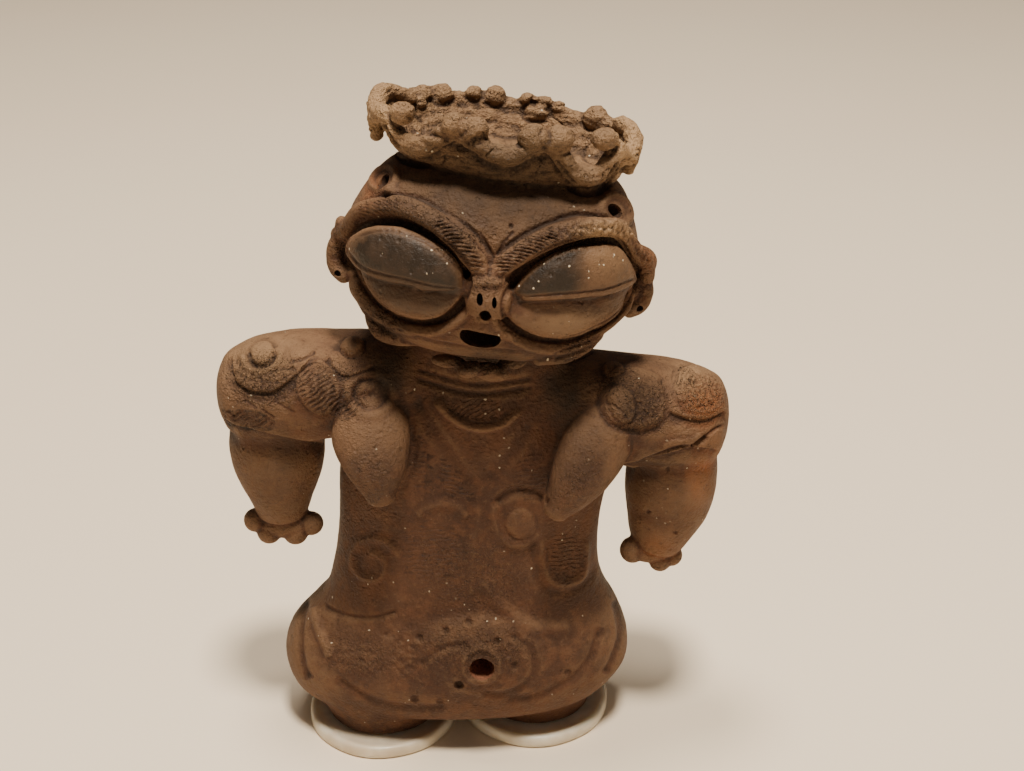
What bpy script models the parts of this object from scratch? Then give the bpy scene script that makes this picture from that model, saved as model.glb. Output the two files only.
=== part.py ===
"""A goggle-eyed clay figurine with broken legs, standing on two support rings.

The figure is one piece of fired clay, facing -Y. It is drawn in units, as shares of its own
height: x to the viewer's right, y to the back and z up, with the floor at 0. Lumps of clay are
fused into one skin, then cords and knobs are laid on it and fused again. Last, lines are pressed
into the skin as seen from the front or from the back, and the holes are cut.
"""

import math

import bmesh
import bpy
import numpy as np
from mathutils import Euler, Matrix, Vector
from mathutils.bvhtree import BVHTree

# Sizes, in metres
FIGURE_HEIGHT = 0.245
RING_HEIGHT = 0.005
RING_HOLE_RADIUS = 0.0125
RING_ROUNDING = 0.0012
RING_SPACE = 0.0005
SEAT_GAP = 0.0003
RING_SIDES = 40
RING_CHAMFER = 0.0007

# The drawing runs from the broken legs to the tops of the crown's knobs
BREAK_LEVEL = 5.3
TOP_LEVEL = 258.9
UNIT = FIGURE_HEIGHT / (TOP_LEVEL - BREAK_LEVEL)
LEG_PLACES = ((-30, -3.3), (31, 3.3))
LEG_RADIUS = 21.5
MIDDLE = (8, -3.7)
HEAD_LEAN = 7

# Fineness of the clay, in units, and the triangles that the solid may have
FORM_VOXEL = 1.2
FORM_SMOOTHING = 18
DETAIL_VOXEL = 1.1
JOIN_SMOOTHING = 2
SOLID_TRIANGLES = 6700

# A drawing is looked at from an azimuth and an elevation, in degrees
FRONT = (0, 27)
BACK = (180, 8)

CLAY_COLOUR = (0.23, 0.12, 0.07, 1)
RING_COLOUR = (0.72, 0.68, 0.58, 1)


def clear_scene():
    for obj in list(bpy.data.objects):
        bpy.data.objects.remove(obj)


# Lumps of clay


def through(keys, steps):
    """Rows read from a Catmull-Rom curve through the key rows."""
    keys = np.asarray(keys, float)
    ends = np.vstack([2 * keys[0] - keys[1], keys, 2 * keys[-1] - keys[-2]])
    rows = []
    for i in range(len(keys) - 1):
        before, start, end, after = ends[i : i + 4]
        for t in np.linspace(0, 1, steps, endpoint=False):
            rows.append(
                start
                + 0.5 * t * (end - before)
                + 0.5 * t * t * (2 * before - 5 * start + 4 * end - after)
                + 0.5 * t**3 * (3 * start - before - 3 * end + after)
            )
    rows.append(keys[-1])
    return np.array(rows)


def domed(ring, direction, roundness):
    """Shrinking copies of an end ring, which close a loft with a dome."""
    centre, along, wide, deep = ring
    steps = 5
    made = []
    for k in range(1, steps + 1):
        turn = math.pi / 2 * k / (steps + 0.4)
        lift = direction * roundness * min(wide, deep) * math.sin(turn)
        made.append((centre + along * lift, along, wide * math.cos(turn), deep * math.cos(turn)))
    return made


def add_lump(clay, keys, square=2.0, roundness=0.5, lean=None, sides=48):
    """A loft through oval sections (x, y, z, half width, half depth), whose depth lies along Y.

    The sections stand across the path, or all lean towards +X by the angle given."""
    rows = through(keys, 6)
    along = np.gradient(rows[:, :3], axis=0)
    along /= np.linalg.norm(along, axis=1)[:, None]
    if lean is not None:
        along[:] = (math.sin(math.radians(lean)), 0, math.cos(math.radians(lean)))
    rings = [
        (Vector(row[:3]), Vector(way), max(row[3], 0.1), max(row[4], 0.1))
        for row, way in zip(rows, along)
    ]
    rings = domed(rings[0], -1, roundness)[::-1] + rings + domed(rings[-1], 1, roundness)
    loops = []
    for centre, way, wide, deep in rings:
        side = way.cross(Vector((0, 1, 0))).normalized()
        back = side.cross(way).normalized()
        loop = []
        for k in range(sides):
            turn = 2 * math.pi * k / sides
            c, s = math.cos(turn), math.sin(turn)
            reach = (abs(c) ** square + abs(s) ** square) ** (-1 / square)
            loop.append(centre + side * (wide * reach * c) + back * (deep * reach * s))
        loops.append(loop)
    clay.bridge(loops)


class Clay:
    """Closed lumps of points and faces, gathered before they are fused."""

    def __init__(self):
        self.points = []
        self.faces = []

    def bridge(self, loops):
        """One closed body through rings of points that all have the same count."""
        first = len(self.points)
        count = len(loops[0])
        for loop in loops:
            self.points.extend(tuple(point) for point in loop)
        for row in range(len(loops) - 1):
            low = first + row * count
            for k in range(count):
                n = (k + 1) % count
                self.faces.append((low + k, low + n, low + count + n, low + count + k))
        self.faces.append(tuple(range(first + count - 1, first - 1, -1)))
        last = first + (len(loops) - 1) * count
        self.faces.append(tuple(range(last, last + count)))

    def add_mesh(self, mesh, place=Matrix()):
        first = len(self.points)
        self.points.extend(tuple(place @ vertex.co) for vertex in mesh.vertices)
        self.faces.extend(tuple(first + k for k in face.vertices) for face in mesh.polygons)

    def mesh(self):
        mesh = bpy.data.meshes.new("clay")
        mesh.from_pydata(self.points, [], self.faces)
        return mesh


def ball(sides):
    """A ball's mesh, of radius 1."""
    name = "ball_%d" % sides
    if name not in bpy.data.meshes:
        body = bmesh.new()
        bmesh.ops.create_uvsphere(body, u_segments=sides, v_segments=sides // 2, radius=1)
        body.to_mesh(bpy.data.meshes.new(name))
        body.free()
    return bpy.data.meshes[name]


def add_ball(clay, centre, radii, turned=(0, 0, 0), sides=20):
    if not hasattr(radii, "__len__"):
        radii = (radii, radii, radii)
    turn = Euler([math.radians(angle) for angle in turned]).to_matrix().to_4x4()
    clay.add_mesh(ball(sides), Matrix.Translation(centre) @ turn @ Matrix.Diagonal((*radii, 1)))


def add_rope(clay, keys, steps=14):
    """A rope of clay through points (x, y, z, radius), made of balls that overlap."""
    for x, y, z, radius in through(keys, steps):
        add_ball(clay, (x, y, z), radius, sides=12)


def fused(clay, voxel, smoothing):
    """The lumps as one closed skin."""
    obj = bpy.data.objects.new("clay", clay.mesh())
    bpy.context.scene.collection.objects.link(obj)
    remesh = obj.modifiers.new("fuse", "REMESH")
    remesh.mode = "VOXEL"
    remesh.voxel_size = voxel
    smooth = obj.modifiers.new("smooth", "SMOOTH")
    smooth.factor = 0.5
    smooth.iterations = smoothing
    return applied(obj)


def applied(obj):
    """The mesh of an object after its modifiers; the object itself goes."""
    graph = bpy.context.evaluated_depsgraph_get()
    skin = bpy.data.meshes.new_from_object(obj.evaluated_get(graph))
    bpy.data.objects.remove(obj)
    return skin


# The form: trunk, arms and head


def add_trunk(clay):
    """The trunk, flaring to wide hips, with the stubs of the two legs."""
    trunk = [
        (-3, 0, 11, 50, 22),
        (-2.5, 0, 17, 62, 30),
        (-0.5, 0, 29, 68, 34),
        (0.5, 0, 41, 67, 33),
        (3, 0, 52, 60.5, 29.5),
        (4, 0, 60, 55, 27),
        (4, 0, 72, 51.5, 25.5),
        (5.5, 0, 90, 50, 24.5),
        (8, 0, 114, 51, 24),
        (9.5, 0, 130, 51, 23.5),
        (10, 0, 144, 46, 22),
        (11.5, 1, 156, 36, 20),
        (12, 1, 166, 30, 19),
        (12, 1, 180, 27, 18),
    ]
    add_lump(clay, trunk, square=2.3, lean=0, roundness=0.15)
    for x, y in LEG_PLACES:
        stub = [(x, y, 1, LEG_RADIUS, LEG_RADIUS), (x, y, 8, 23.5, 22), (x, y, 20, 30, 26)]
        add_lump(clay, stub, lean=0, roundness=0)
    add_ball(clay, (9, -21, 41), (34, 15, 25))


def add_arms(clay):
    sleeves = (
        [
            (-6, 0, 150, 17, 18),
            (-34, 0, 149, 18.5, 21),
            (-56, 0, 147.5, 20, 22.5),
            (-68.5, 0, 145, 20.3, 22),
            (-77, 0, 143.5, 18, 19),
        ],
        [
            (25, 0, 147, 18, 18),
            (50, 0, 140.5, 19, 21),
            (72, 0, 136.5, 20.5, 22.5),
            (84, 0, 134.5, 20.3, 22),
            (93.2, 0, 133, 18, 19),
        ],
    )
    for sleeve in sleeves:
        add_lump(clay, sleeve, square=2.2)
    forearms = (
        [
            (-65, 0, 137, 17, 17),
            (-66, 0, 124, 18, 18),
            (-66, -1, 113, 16.5, 17),
            (-65.5, -3, 102, 12, 13.5),
            (-65.5, -4, 95, 9.5, 10),
        ],
        [
            (82, 0, 126, 16, 17),
            (82.5, 0, 112, 17.3, 18),
            (81.5, 0, 99, 16.8, 17),
            (79, -2, 88, 13, 14),
            (77, -4, 80, 9.5, 10),
        ],
    )
    for forearm in forearms:
        add_lump(clay, forearm, roundness=0.3)


def add_head(clay):
    head = [
        (11.5, 1, 168.5, 20, 15),
        (11.5, 0, 172.5, 36.5, 29),
        (12, 0, 181, 45.5, 35),
        (13.7, 0, 194, 50.7, 36),
        (15.5, 0, 207, 51.5, 35.5),
        (17.7, 0, 219, 47.1, 33.5),
        (20, 1, 228, 40.7, 28),
        (20.4, 2, 232, 33.4, 22),
    ]
    add_lump(clay, head, square=2.4, lean=HEAD_LEAN, roundness=0.15)


def body_form():
    clay = Clay()
    add_trunk(clay)
    add_arms(clay)
    add_head(clay)
    return fused(clay, FORM_VOXEL, FORM_SMOOTHING)


# Clay laid on the form

# The crown's rim: its middle, reach and slope
CROWN_MIDDLE = (20, 3, 247.5)
CROWN_REACH = (43, 28.5)
CROWN_SLOPE = (-0.155, -0.09)
CROWN_ROPE = 3.3
# How the rim rises and hangs: angle from the front, clockwise as seen from above, and lift
CROWN_RIM = (
    (-92, 0), (-80, -4.5), (-68, -1.5), (-62, -3.6), (-54, -8), (-45, -9.1), (-37, -8.2), (-30, -4),
    (-23, 0), (-17, -1), (-9, -4.5), (-2, -5.8), (5, -4.8), (11, -0.8), (18, 0.5), (23, -2),
    (26, -6.5), (31, -9.6), (38, -10.6), (46, -9.4), (53, -5), (58, -1), (68, -5), (78, -3),
    (90, 0), (110, -1), (130, 0), (145, -2), (158, 0), (177, -1.5), (190, 0), (203, -1.5),
    (217, 0), (236, -1.5), (255, 0), (268, 0),
)
# Knobs on the rim: angle, reach beyond the rim, lift, and half sizes along, across and up
CROWN_KNOBS = (
    (-62, 0.4, -3.2, (2.8, 3.4, 4.2)),
    (-52, 0, 0.8, (4.6, 4.3, 3.9)),
    (-23, 0.2, 1.4, (4.3, 4.4, 4)),
    (-13.4, 0.2, 1.2, (4.8, 4.4, 4.2)),
    (11.8, 0.2, 1.6, (5.1, 4.7, 4.4)),
    (23.4, 0.2, 1.6, (5.5, 4.7, 4.5)),
    (49, 0.2, 2.4, (5.1, 4.4, 3.9)),
    (58, 0.4, -1.3, (3, 3.6, 4)),
    (132.5, 0, 1.2, (5, 4.4, 4.3)),
    (154.7, 0, 1.7, (2.8, 2.8, 2.3)),
    (162, 0, 2.6, (3.6, 3, 2.3)),
    (165, -2.2, -1.6, (4.8, 2.8, 2.8)),
    (170, 0, 2.8, (3, 2.8, 2.1)),
    (185.3, 0, 2, (4, 3.8, 3.5)),
    (195.6, 0, 2, (3.3, 3.4, 2.5)),
    (212, 0, 0.5, (4.2, 4, 3.8)),
    (223.4, 0, 0.3, (3.6, 3.8, 3)),
    (229.6, -3, -2.1, (2.6, 2.6, 2)),
    (110, -0.5, 2.5, (3, 3, 2.6)),
)


def crown_point(angle, out, lift):
    """A place on the crown: out from its rim, and up from the slope that the rim follows."""
    turn = math.radians(angle)
    x = (CROWN_REACH[0] + out) * math.sin(turn)
    y = -(CROWN_REACH[1] + out) * math.cos(turn)
    middle = Vector(CROWN_MIDDLE)
    return middle + Vector((x, y, CROWN_SLOPE[0] * x + CROWN_SLOPE[1] * y + lift))


def crown_lift(angle):
    """How high the rim lies over its slope at an angle."""
    angles, lifts = zip(*CROWN_RIM)
    return float(np.interp(angle, angles, lifts, period=360))


def add_crown(clay):
    """A bowl with a scalloped rim: a rope hangs from peak to peak and curls at its ends."""
    wall = [
        (-14, -20, 0),
        (-9, -18, 0),
        (-4.5, -15.2, 0),
        (-3, -12, 0.3),
        (-1.5, -7, 0.7),
        (-0.5, -3.5, 1),
        (0.5, -1, 1),
        (-1.5, 0, 1),
        (-4, -3, 0.8),
        (-6, -7, 0.35),
        (-9, -11, 0.1),
        (-17, -12, 0),
    ]
    loops = []
    turns = range(0, 360, 4)
    for out, lift, hang in wall:
        loops.append([crown_point(-turn, out, lift + hang * crown_lift(-turn)) for turn in turns])
    clay.bridge(loops)
    rope = [(*crown_point(turn, 0.7, crown_lift(turn)), CROWN_ROPE) for turn in range(0, 361, 6)]
    add_rope(clay, rope, 4)
    for angle, out, lift, sizes in CROWN_KNOBS:
        add_ball(clay, crown_point(angle, out, lift), sizes, (0, 0, angle), sides=16)
    for rope in CROWN_ENDS:
        add_rope(clay, [(*crown_point(angle, out, lift), radius) for angle, out, lift, radius in rope])


# Rolls that hang over the crown's two ends: angle, reach beyond the rim, lift and radius
CROWN_ENDS = (
    (
        (238, -4, -0.4, 2.2), (250, -1, 1.6, 2.9), (261, 0.2, 1.6, 3.3), (268, 0.8, -0.6, 3.4),
        (268, 1.2, -6.8, 3), (268, 1.4, -12.6, 2.4),
    ),
    (
        (108, -1, 2.6, 2.6), (98, 0, 2.4, 2.9), (88, 0.4, 0.6, 3), (84, 0.8, -4.8, 2.7),
        (76, 0.2, -9.6, 2.3),
    ),
)


def add_face(clay, skin):
    """The nose, the cords over the eyes and the ears."""
    add_ball(clay, (13.7, -36.9, 205.2), (6.4, 5, 2.7))
    muzzle = [(14, -34.5, 205, 7.6, 6.5), (14.2, -36, 199, 8.2, 7.5), (13.6, -35.5, 192.5, 7, 6.8)]
    add_lump(clay, muzzle, lean=HEAD_LEAN)
    tree = tree_of(skin)
    right, up, out = sight(FRONT)
    for cord, ends in CORDS:
        rope = []
        for u, v in cord:
            eye = right * u + up * v + out * 200
            hit = tree.ray_cast(eye, -out)[0]
            rope.append((*(hit + out * CORD_RISE), CORD_RADIUS))
        add_rope(clay, rope + list(ends))
    for keys in EARS + CHEEKS:
        add_rope(clay, keys)
    for centre, radii, turned in LUMPS:
        add_ball(clay, centre, radii, turned)


# The cords over the eyes: their radius, how far they stand out, and their points as drawn
CORD_RADIUS = 3.2
CORD_RISE = 0.6
CORDS = (
    (
        ((12.2, 168.5), (7.6, 174.1), (3.9, 178.5), (-5.2, 185.7), (-16, 190.4), (-28.6, 190.3)),
        ((-34.5, -9.5, 213, 3), (-38.5, -3, 208, 3)),
    ),
    (
        ((15.8, 167.5), (21.1, 171.5), (32.3, 178.1), (45.2, 182.5), (57, 183.4)),
        ((64.5, -14, 206, 3.1), (68.5, -9, 200, 3), (69.5, -8, 194, 2.6)),
    ),
)
# Ropes of clay, in points with their radius: the ears
EARS = (
    (
        (-36.8, -6, 213.6, 2.4), (-37.9, -5, 208.6, 2.3), (-39.7, -4, 204, 2.9), (-40, -4, 200, 3.2),
        (-39.2, -5, 196.6, 3.5), (-37, -7, 194.4, 3),
    ),
    (
        (65.2, -6, 203.4, 2.6), (69.4, -5, 199.6, 3.2), (69.5, -4, 195, 2.8), (68.8, -4, 190.5, 3),
        (68.9, -4, 185.8, 3.3), (67, -5, 182, 3.3), (63.6, -8, 181, 2.6),
    ),
)
# The plate's edge from each ear down to the jaw, and the jaw's two corners
CHEEKS = (
    ((-33.6, -9, 195.5, 1.8), (-32.2, -11, 191, 1.9), (-30.6, -13, 188, 1.9), (-28.4, -16, 185.2, 2)),
    (
        (-27.8, -15, 184.2, 1.9), (-26.2, -17, 180.4, 2.6), (-23.4, -19, 177.6, 2.8),
        (-17.5, -22.5, 176.6, 2.4), (-11, -25, 176.5, 1.2),
    ),
    (
        (63.6, -11, 189, 2), (61.8, -13, 184.8, 2), (58.6, -15, 182, 2), (55, -18, 180, 2),
        (50.6, -21, 178, 2), (45, -24, 176, 1.6),
    ),
    ((53.4, -16, 178.8, 2.2), (48, -21, 174.5, 3), (40, -25, 172, 3.1), (31, -28, 171, 1.8)),
)
# Lumps: under the crown's right side, behind the left ear, and broken clay between the chin and the
# neck; middle, radii and turns
LUMPS = (
    ((-17.5, -17, 228), (3, 3, 2.6), (0, 0, 0)),
    ((64.2, -3, 187), (4.6, 5, 7), (0, 0, 0)),
    ((0, -23, 168.4), (6.4, 3.6, 2.2), (0, 12, 10)),
    ((7.2, -25.4, 166.4), (4.6, 3.8, 2.8), (0, -14, 0)),
    ((14.6, -24.8, 165.2), (6.6, 3.6, 3.1), (10, 8, -8)),
    ((22, -22.6, 167.6), (5.4, 3.4, 2.2), (0, -10, -10)),
)


def add_hands(clay):
    right = (((-65, -6, 91.5), (11, 6, 5.5)), ((-75.5, -6, 93), 4.6), ((-70.5, -7, 88.5), 4.7))
    right += (((-60.5, -7, 88.3), 4.9), ((-54.5, -6, 91.5), 4.7))
    left = (((75.5, -6, 80), (9, 6, 5.5)), ((68.5, -6, 79.5), 5.2), ((79, -7, 75.5), 4.6))
    left += (((83.5, -6, 77), 4.3), ((80, -5, 80.5), 5))
    for centre, radii in right + left:
        add_ball(clay, centre, radii)


def add_breasts(clay):
    breasts = (
        [
            (-30, -15, 146, 12, 9),
            (-28.5, -23, 139, 14, 9.5),
            (-26.5, -28.6, 129, 11.4, 8.8),
            (-25, -32, 119, 5.4, 5.6),
        ],
        [
            (57, -15, 141, 12, 9),
            (51, -22, 132, 12.5, 9.5),
            (44.5, -27.5, 122, 10, 8.6),
            (37.6, -31, 112.5, 5, 5.2),
        ],
    )
    for breast in breasts:
        add_lump(clay, breast, roundness=0.7)


def tree_of(skin):
    body = bmesh.new()
    body.from_mesh(skin)
    tree = BVHTree.FromBMesh(body)
    body.free()
    return tree


def whole_form(voxel):
    """The form with its eyes, and the laid-on clay fused to it."""
    skin = body_form()
    surface = Surface(skin)
    surface.look(FRONT, 0.1)
    draw_eyes(surface)
    surface.apply()
    clay = Clay()
    clay.add_mesh(skin)
    add_crown(clay)
    add_face(clay, skin)
    add_hands(clay)
    add_breasts(clay)
    return fused(clay, voxel, JOIN_SMOOTHING)


# Lines pressed into the clay, and ridges raised on it, as seen in a drawing


def sight(view):
    """The right, up and outward directions of a drawing."""
    azimuth, elevation = (math.radians(angle) for angle in view)
    right = Vector((math.cos(azimuth), math.sin(azimuth), 0))
    level = Vector((math.sin(azimuth), -math.cos(azimuth), 0))
    out = level * math.cos(elevation) + Vector((0, 0, math.sin(elevation)))
    return right, out.cross(right), out


def soft(x):
    """0 below 0, 1 above 1 and a smooth step between."""
    x = np.clip(x, 0, 1)
    return x * x * (3 - 2 * x)


class Surface:
    """The points of a skin, with what a drawing sees of each."""

    def __init__(self, skin):
        self.skin = skin
        count = len(skin.vertices)
        self.points = np.empty(count * 3)
        skin.vertices.foreach_get("co", self.points)
        self.points = self.points.reshape(-1, 3)
        self.normals = np.empty(count * 3)
        skin.vertex_normals.foreach_get("vector", self.normals)
        self.normals = self.normals.reshape(-1, 3)
        self.lift = np.zeros(count)

    def look(self, view, grazing=0.25):
        """Looks at the skin: only the points in sight, and facing the eye, are moved."""
        right, up, out = sight(view)
        tree = tree_of(self.skin)
        facing = self.normals @ np.array(out)
        self.seen = soft((facing - 0.03) / grazing)
        for i in np.flatnonzero(self.seen):
            start = Vector(self.points[i]) + Vector(self.normals[i]) * 0.6 + out * 0.6
            if tree.ray_cast(start, out, 60)[0] is not None:
                self.seen[i] = 0
        self.u = self.points @ np.array(right)
        self.v = self.points @ np.array(up)

    def near(self, low, high, margin):
        inside = (self.u > low[0] - margin) & (self.u < high[0] + margin)
        inside &= (self.v > low[1] - margin) & (self.v < high[1] + margin)
        return np.flatnonzero(inside & (self.seen > 0))

    def move(self, which, amount):
        self.lift[which] += amount * self.seen[which]

    def apply(self):
        moved = self.points + self.normals * self.lift[:, None]
        self.skin.vertices.foreach_set("co", moved.ravel())
        self.skin.update()


def offset_from(surface, line, margin):
    """For the points near a line: which they are, how far off, on which side and how far along."""
    line = np.asarray(line, float)
    which = surface.near(line.min(axis=0), line.max(axis=0), margin)
    spots = np.stack([surface.u[which], surface.v[which]], axis=1)
    nearest = np.full(len(which), 1e9)
    side = np.zeros(len(which))
    travel = np.zeros(len(which))
    done = 0
    for start, end in zip(line, line[1:]):
        way = end - start
        length = max(np.hypot(*way), 1e-6)
        way = way / length
        gap = spots - start
        t = np.clip(gap @ way, 0, length)
        off = np.hypot(*(gap - t[:, None] * way).T)
        closer = off < nearest
        nearest[closer] = off[closer]
        side[closer] = np.sign(way[0] * gap[:, 1] - way[1] * gap[:, 0])[closer]
        travel[closer] = (done + t)[closer]
        done += length
    return which, nearest, side, travel / done


def oval(centre, radii, count=40):
    """The outline of an oval."""
    turns = [2 * math.pi * k / count for k in range(count + 1)]
    return [
        (centre[0] + radii[0] * math.cos(turn), centre[1] + radii[1] * math.sin(turn)) for turn in turns
    ]


def spiral(centre, start, end, turns, heading=0):
    """A line that winds round a centre, from one radius to another."""
    count = max(8, int(abs(turns) * 20))
    line = []
    for k in range(count + 1):
        t = k / count
        radius = start + (end - start) * t
        angle = math.radians(heading) + 2 * math.pi * turns * t
        line.append((centre[0] + radius * math.cos(angle), centre[1] + radius * math.sin(angle)))
    return line


def press(surface, line, width, depth):
    """A groove along a line, or a ridge if the depth is below 0, fading at both ends."""
    which, off, side, travel = offset_from(surface, line, width)
    ends = 1.0
    if np.hypot(*(np.subtract(line[0], line[-1]))) > 0.5:
        ends = soft(travel * 12 + 0.2) * soft((1 - travel) * 12 + 0.2)
    surface.move(which, -depth * soft(1 - off / width) * ends)


def terrace(surface, line, width, drop):
    """A step along a line: the right-hand side of the way lies lower, fading out by the width."""
    which, off, side, travel = offset_from(surface, line, width)
    ends = soft(travel * 10) * soft((1 - travel) * 10)
    edge = soft(0.5 - side * off / 0.9) * soft(1 - off / width)
    surface.move(which, -drop * edge * ends)


def mound(away):
    """The height of a mound, from 1 at its middle to 0 at its steep edge, where the distance is 1."""
    return (1 - np.clip(away, 0, 1) ** 2.2) ** (1 / 2.2)


def swell(surface, centre, radii, height, tilt=0):
    """A mound with an oval outline, or a hollow if the height is below 0."""
    turn = math.radians(tilt)
    which = surface.near(centre, centre, max(radii))
    u, v = surface.u[which] - centre[0], surface.v[which] - centre[1]
    a = (u * math.cos(turn) + v * math.sin(turn)) / radii[0]
    b = (v * math.cos(turn) - u * math.sin(turn)) / radii[1]
    surface.move(which, height * mound(np.hypot(a, b)))


def eye_depth(surface, outline):
    """The points in and round an eye, and how far inside its outline each lies."""
    rim = through(outline + outline[:1], 5)
    which, off, side, travel = offset_from(surface, rim, EYE_REACH)
    return which, -off * side


def draw_eyes(surface):
    """Each eye is a great bean, with a moat round it, a rim beyond and a slit across it."""
    for outline, slit in EYES:
        which, depth = eye_depth(surface, outline)
        surface.move(which, EYE_HEIGHT * mound(1 - depth / EYE_REACH))
        for away, width, height in EYE_RIMS:
            surface.move(which, height * soft(1 - abs(depth + away) / width))
        terrace(surface, through(slit, 6), LID_REACH, LID_DROP)
        press(surface, through(slit, 6), *SLIT)


# How high an eye rises, and how far in from its outline
EYE_HEIGHT = 5.6
EYE_REACH = 14
# How far the lower lid lies under the upper one, and how far down the step reaches
LID_DROP = 3.2
LID_REACH = 9
# Half width and depth of the slit
SLIT = (1.7, 1.2)
# The moat and the rim round an eye: how far out, half width and height
EYE_RIMS = ((1.3, 2.5, -3.3), (4.3, 2, 1.4))
# Each eye's outline, clockwise, and its slit
EYES = (
    (
        (
            (-33.8, 178.6), (-31, 182.6), (-24.5, 184.8), (-15, 183.9), (-5.4, 179.7), (2.6, 174.4),
            (6.6, 167), (4.9, 159.6), (-2.6, 154), (-12, 153.9), (-20.8, 157.9), (-28.2, 165.3),
            (-33.2, 174),
        ),
        (
            (-33.2, 176), (-29.8, 171.9), (-25.5, 169.4), (-19.5, 167.5), (-12.5, 165.9), (-4.8, 163.9),
            (6.2, 162.6),
        ),
    ),
    (
        (
            (21, 161), (24.8, 166.6), (30.2, 171.6), (38, 176), (47.2, 178), (55.8, 178.8), (60.2, 175.6),
            (64.4, 167.2), (61.8, 161.4), (57.4, 155.8), (50.9, 151.8), (44, 148.5), (36.5, 147.4),
            (28.6, 148.6), (21.8, 152.6), (20, 156.6),
        ),
        (
            (21.2, 161.6), (26.6, 160.5), (32.5, 160.8), (44.4, 161.8), (52, 162.9), (57.6, 164.6),
            (64.6, 167.8),
        ),
    ),
)


# Half width and depth of the lines in the front drawing; those below 0 stand up as ridges
FRONT_LINES = (
    # Bands and lines over the brow cords
    (2.4, -1, ((13.9, 170.8), (10.6, 176.3), (2.4, 185.5), (-9.8, 191.9), (-20, 193.6))),
    (2.4, -1, ((16.2, 170.8), (21.1, 175.5), (36.8, 183.6), (53.8, 186.4))),
    (1.5, 1.1, ((15.2, 173.5), (10.8, 180), (1.5, 187.2), (-10.8, 193.6), (-24, 194.6))),
    (1.5, 1.1, ((16.6, 173.5), (22.4, 178.2), (32.4, 184), (44.4, 188), (56.5, 186.2))),
    # Neck and chest
    (1.6, 0.7, ((-13, 137), (0.4, 133.1), (11.3, 131.4), (30, 133.5))),
    (1.8, 0.9, ((-13, 133.9), (3.1, 129), (14.1, 128.3), (30, 130.5))),
    (2.4, -1.7, ((-5.5, 126), (0.3, 120), (5.7, 116.9), (12.6, 115.9), (19.6, 117.9), (25, 122.5))),
    (3.6, 0.8, ((-12.5, 127), (-8.1, 117.9), (-2.7, 109.5), (2.8, 101), (6.9, 94.6))),
    (3.6, 0.7, ((28.5, 117.5), (23, 108.8), (18.1, 102.5), (13.2, 96.7))),
    # Scrolls on the trunk
    (3, -0.8, ((-13.2, 83.5), (-9.5, 86.5), (-3.1, 88), (2.5, 86.5), (6, 82.8))),
    (2.6, 1.3, ((16, 88), (20.9, 92), (25.1, 92.7), (30.1, 91.9), (34.5, 88.6))),
    (3, -0.9, ((16.5, 88), (15.2, 83.6), (17.3, 76.9), (21.6, 72.6), (27.6, 73), (32.2, 78))),
    (2.6, -1.2, ((33, 75), (33.5, 65.9), (36.8, 58.2), (42.3, 55.9), (48.9, 59.1), (50.5, 73))),
    (2.6, 0.7, ((29.8, 74), (30, 65), (34, 55.6), (42.3, 52.4), (50.6, 55.8), (55, 64))),
    (4, -0.7, ((10.5, 88), (7.8, 72.9), (7.1, 63.5), (7, 52.1))),
    # Hips and belly
    (1.6, 0.9, ((-51.6, 46), (-45.3, 43.6), (-36.5, 42.5), (-27.9, 43.4), (-21, 46))),
    (3.2, -1.4, ((-56, 44.5), (-52.5, 35.8), (-47.5, 26.5))),
    (2.8, 1.3, ((-60.1, 47), (-61.4, 35.7), (-60, 23), (-57, 16.2))),
    (3, 1, ((-46.2, 18.5), (-37.9, 13.1), (-28.7, 8.9), (-17.5, 7), (-2.7, 7.4))),
    (2.2, 0.8, ((-13.3, 24.8), (-7.6, 29.9), (-2.1, 32.4), (6, 33.5))),
    (2.6, 1, ((21.4, 37.4), (28.7, 31.6), (31, 23.8), (26.9, 17), (18.6, 13.1), (10, 14))),
    (4.4, -1.3, ((10.5, 60), (16, 50.2), (25, 42.5), (33.2, 38.9), (45, 38.8))),
    (3, 1, ((56.5, 38), (52.9, 26.8), (47.3, 19.5), (38, 14.1), (30.6, 11.4), (19.5, 10.8))),
    (2.8, 1.3, ((62.5, 47), (65.2, 35.3), (62.2, 24.7), (58.5, 18.1))),
    # The figure's right sleeve, and its left one
    (1.5, 1.6, ((-73, 143.5), (-71, 139.6), (-67.5, 138.2), (-64, 139.6), (-62.6, 143))),
    (1.7, -1, ((-75.2, 142.8), (-73, 138), (-67.5, 135.9), (-62, 138.2), (-60.4, 143.4))),
    (2.4, 1.1, ((60.5, 131.8), (55.6, 130.6), (53.3, 125), (55.1, 119.9), (58.5, 116.6), (68.8, 114.6))),
    (2.3, 0.9, ((68, 114.6), (73.9, 116.6), (77.4, 121.7), (77.4, 128.2), (75, 134))),
)
# Steps in the front drawing: how far they reach, and how far the right of the way drops
FRONT_STEPS = (
    (
        7, 1.6,
        (
            (-79.5, 143), (-77.5, 134.1), (-72.9, 130.3), (-67.3, 129), (-61.4, 129.8), (-52.6, 137.2),
            (-48.2, 143),
        ),
    ),
    (5, 1.3, ((-42.8, 142), (-41.4, 137.8), (-38.1, 135.1), (-33.4, 135.4), (-26, 139))),
    (11, 1.7, ((-83.5, 121), (-79.4, 117.3), (-71.6, 115.3), (-56.1, 111.3), (-46, 109.5))),
    (6, 1.5, ((77.7, 122), (85.6, 119.4), (92.3, 119.3), (99.8, 122.4))),
    (11, 1.7, ((60, 101.5), (72.4, 104.7), (80, 107), (87.8, 108.6), (99, 107.4))),
)
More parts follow.
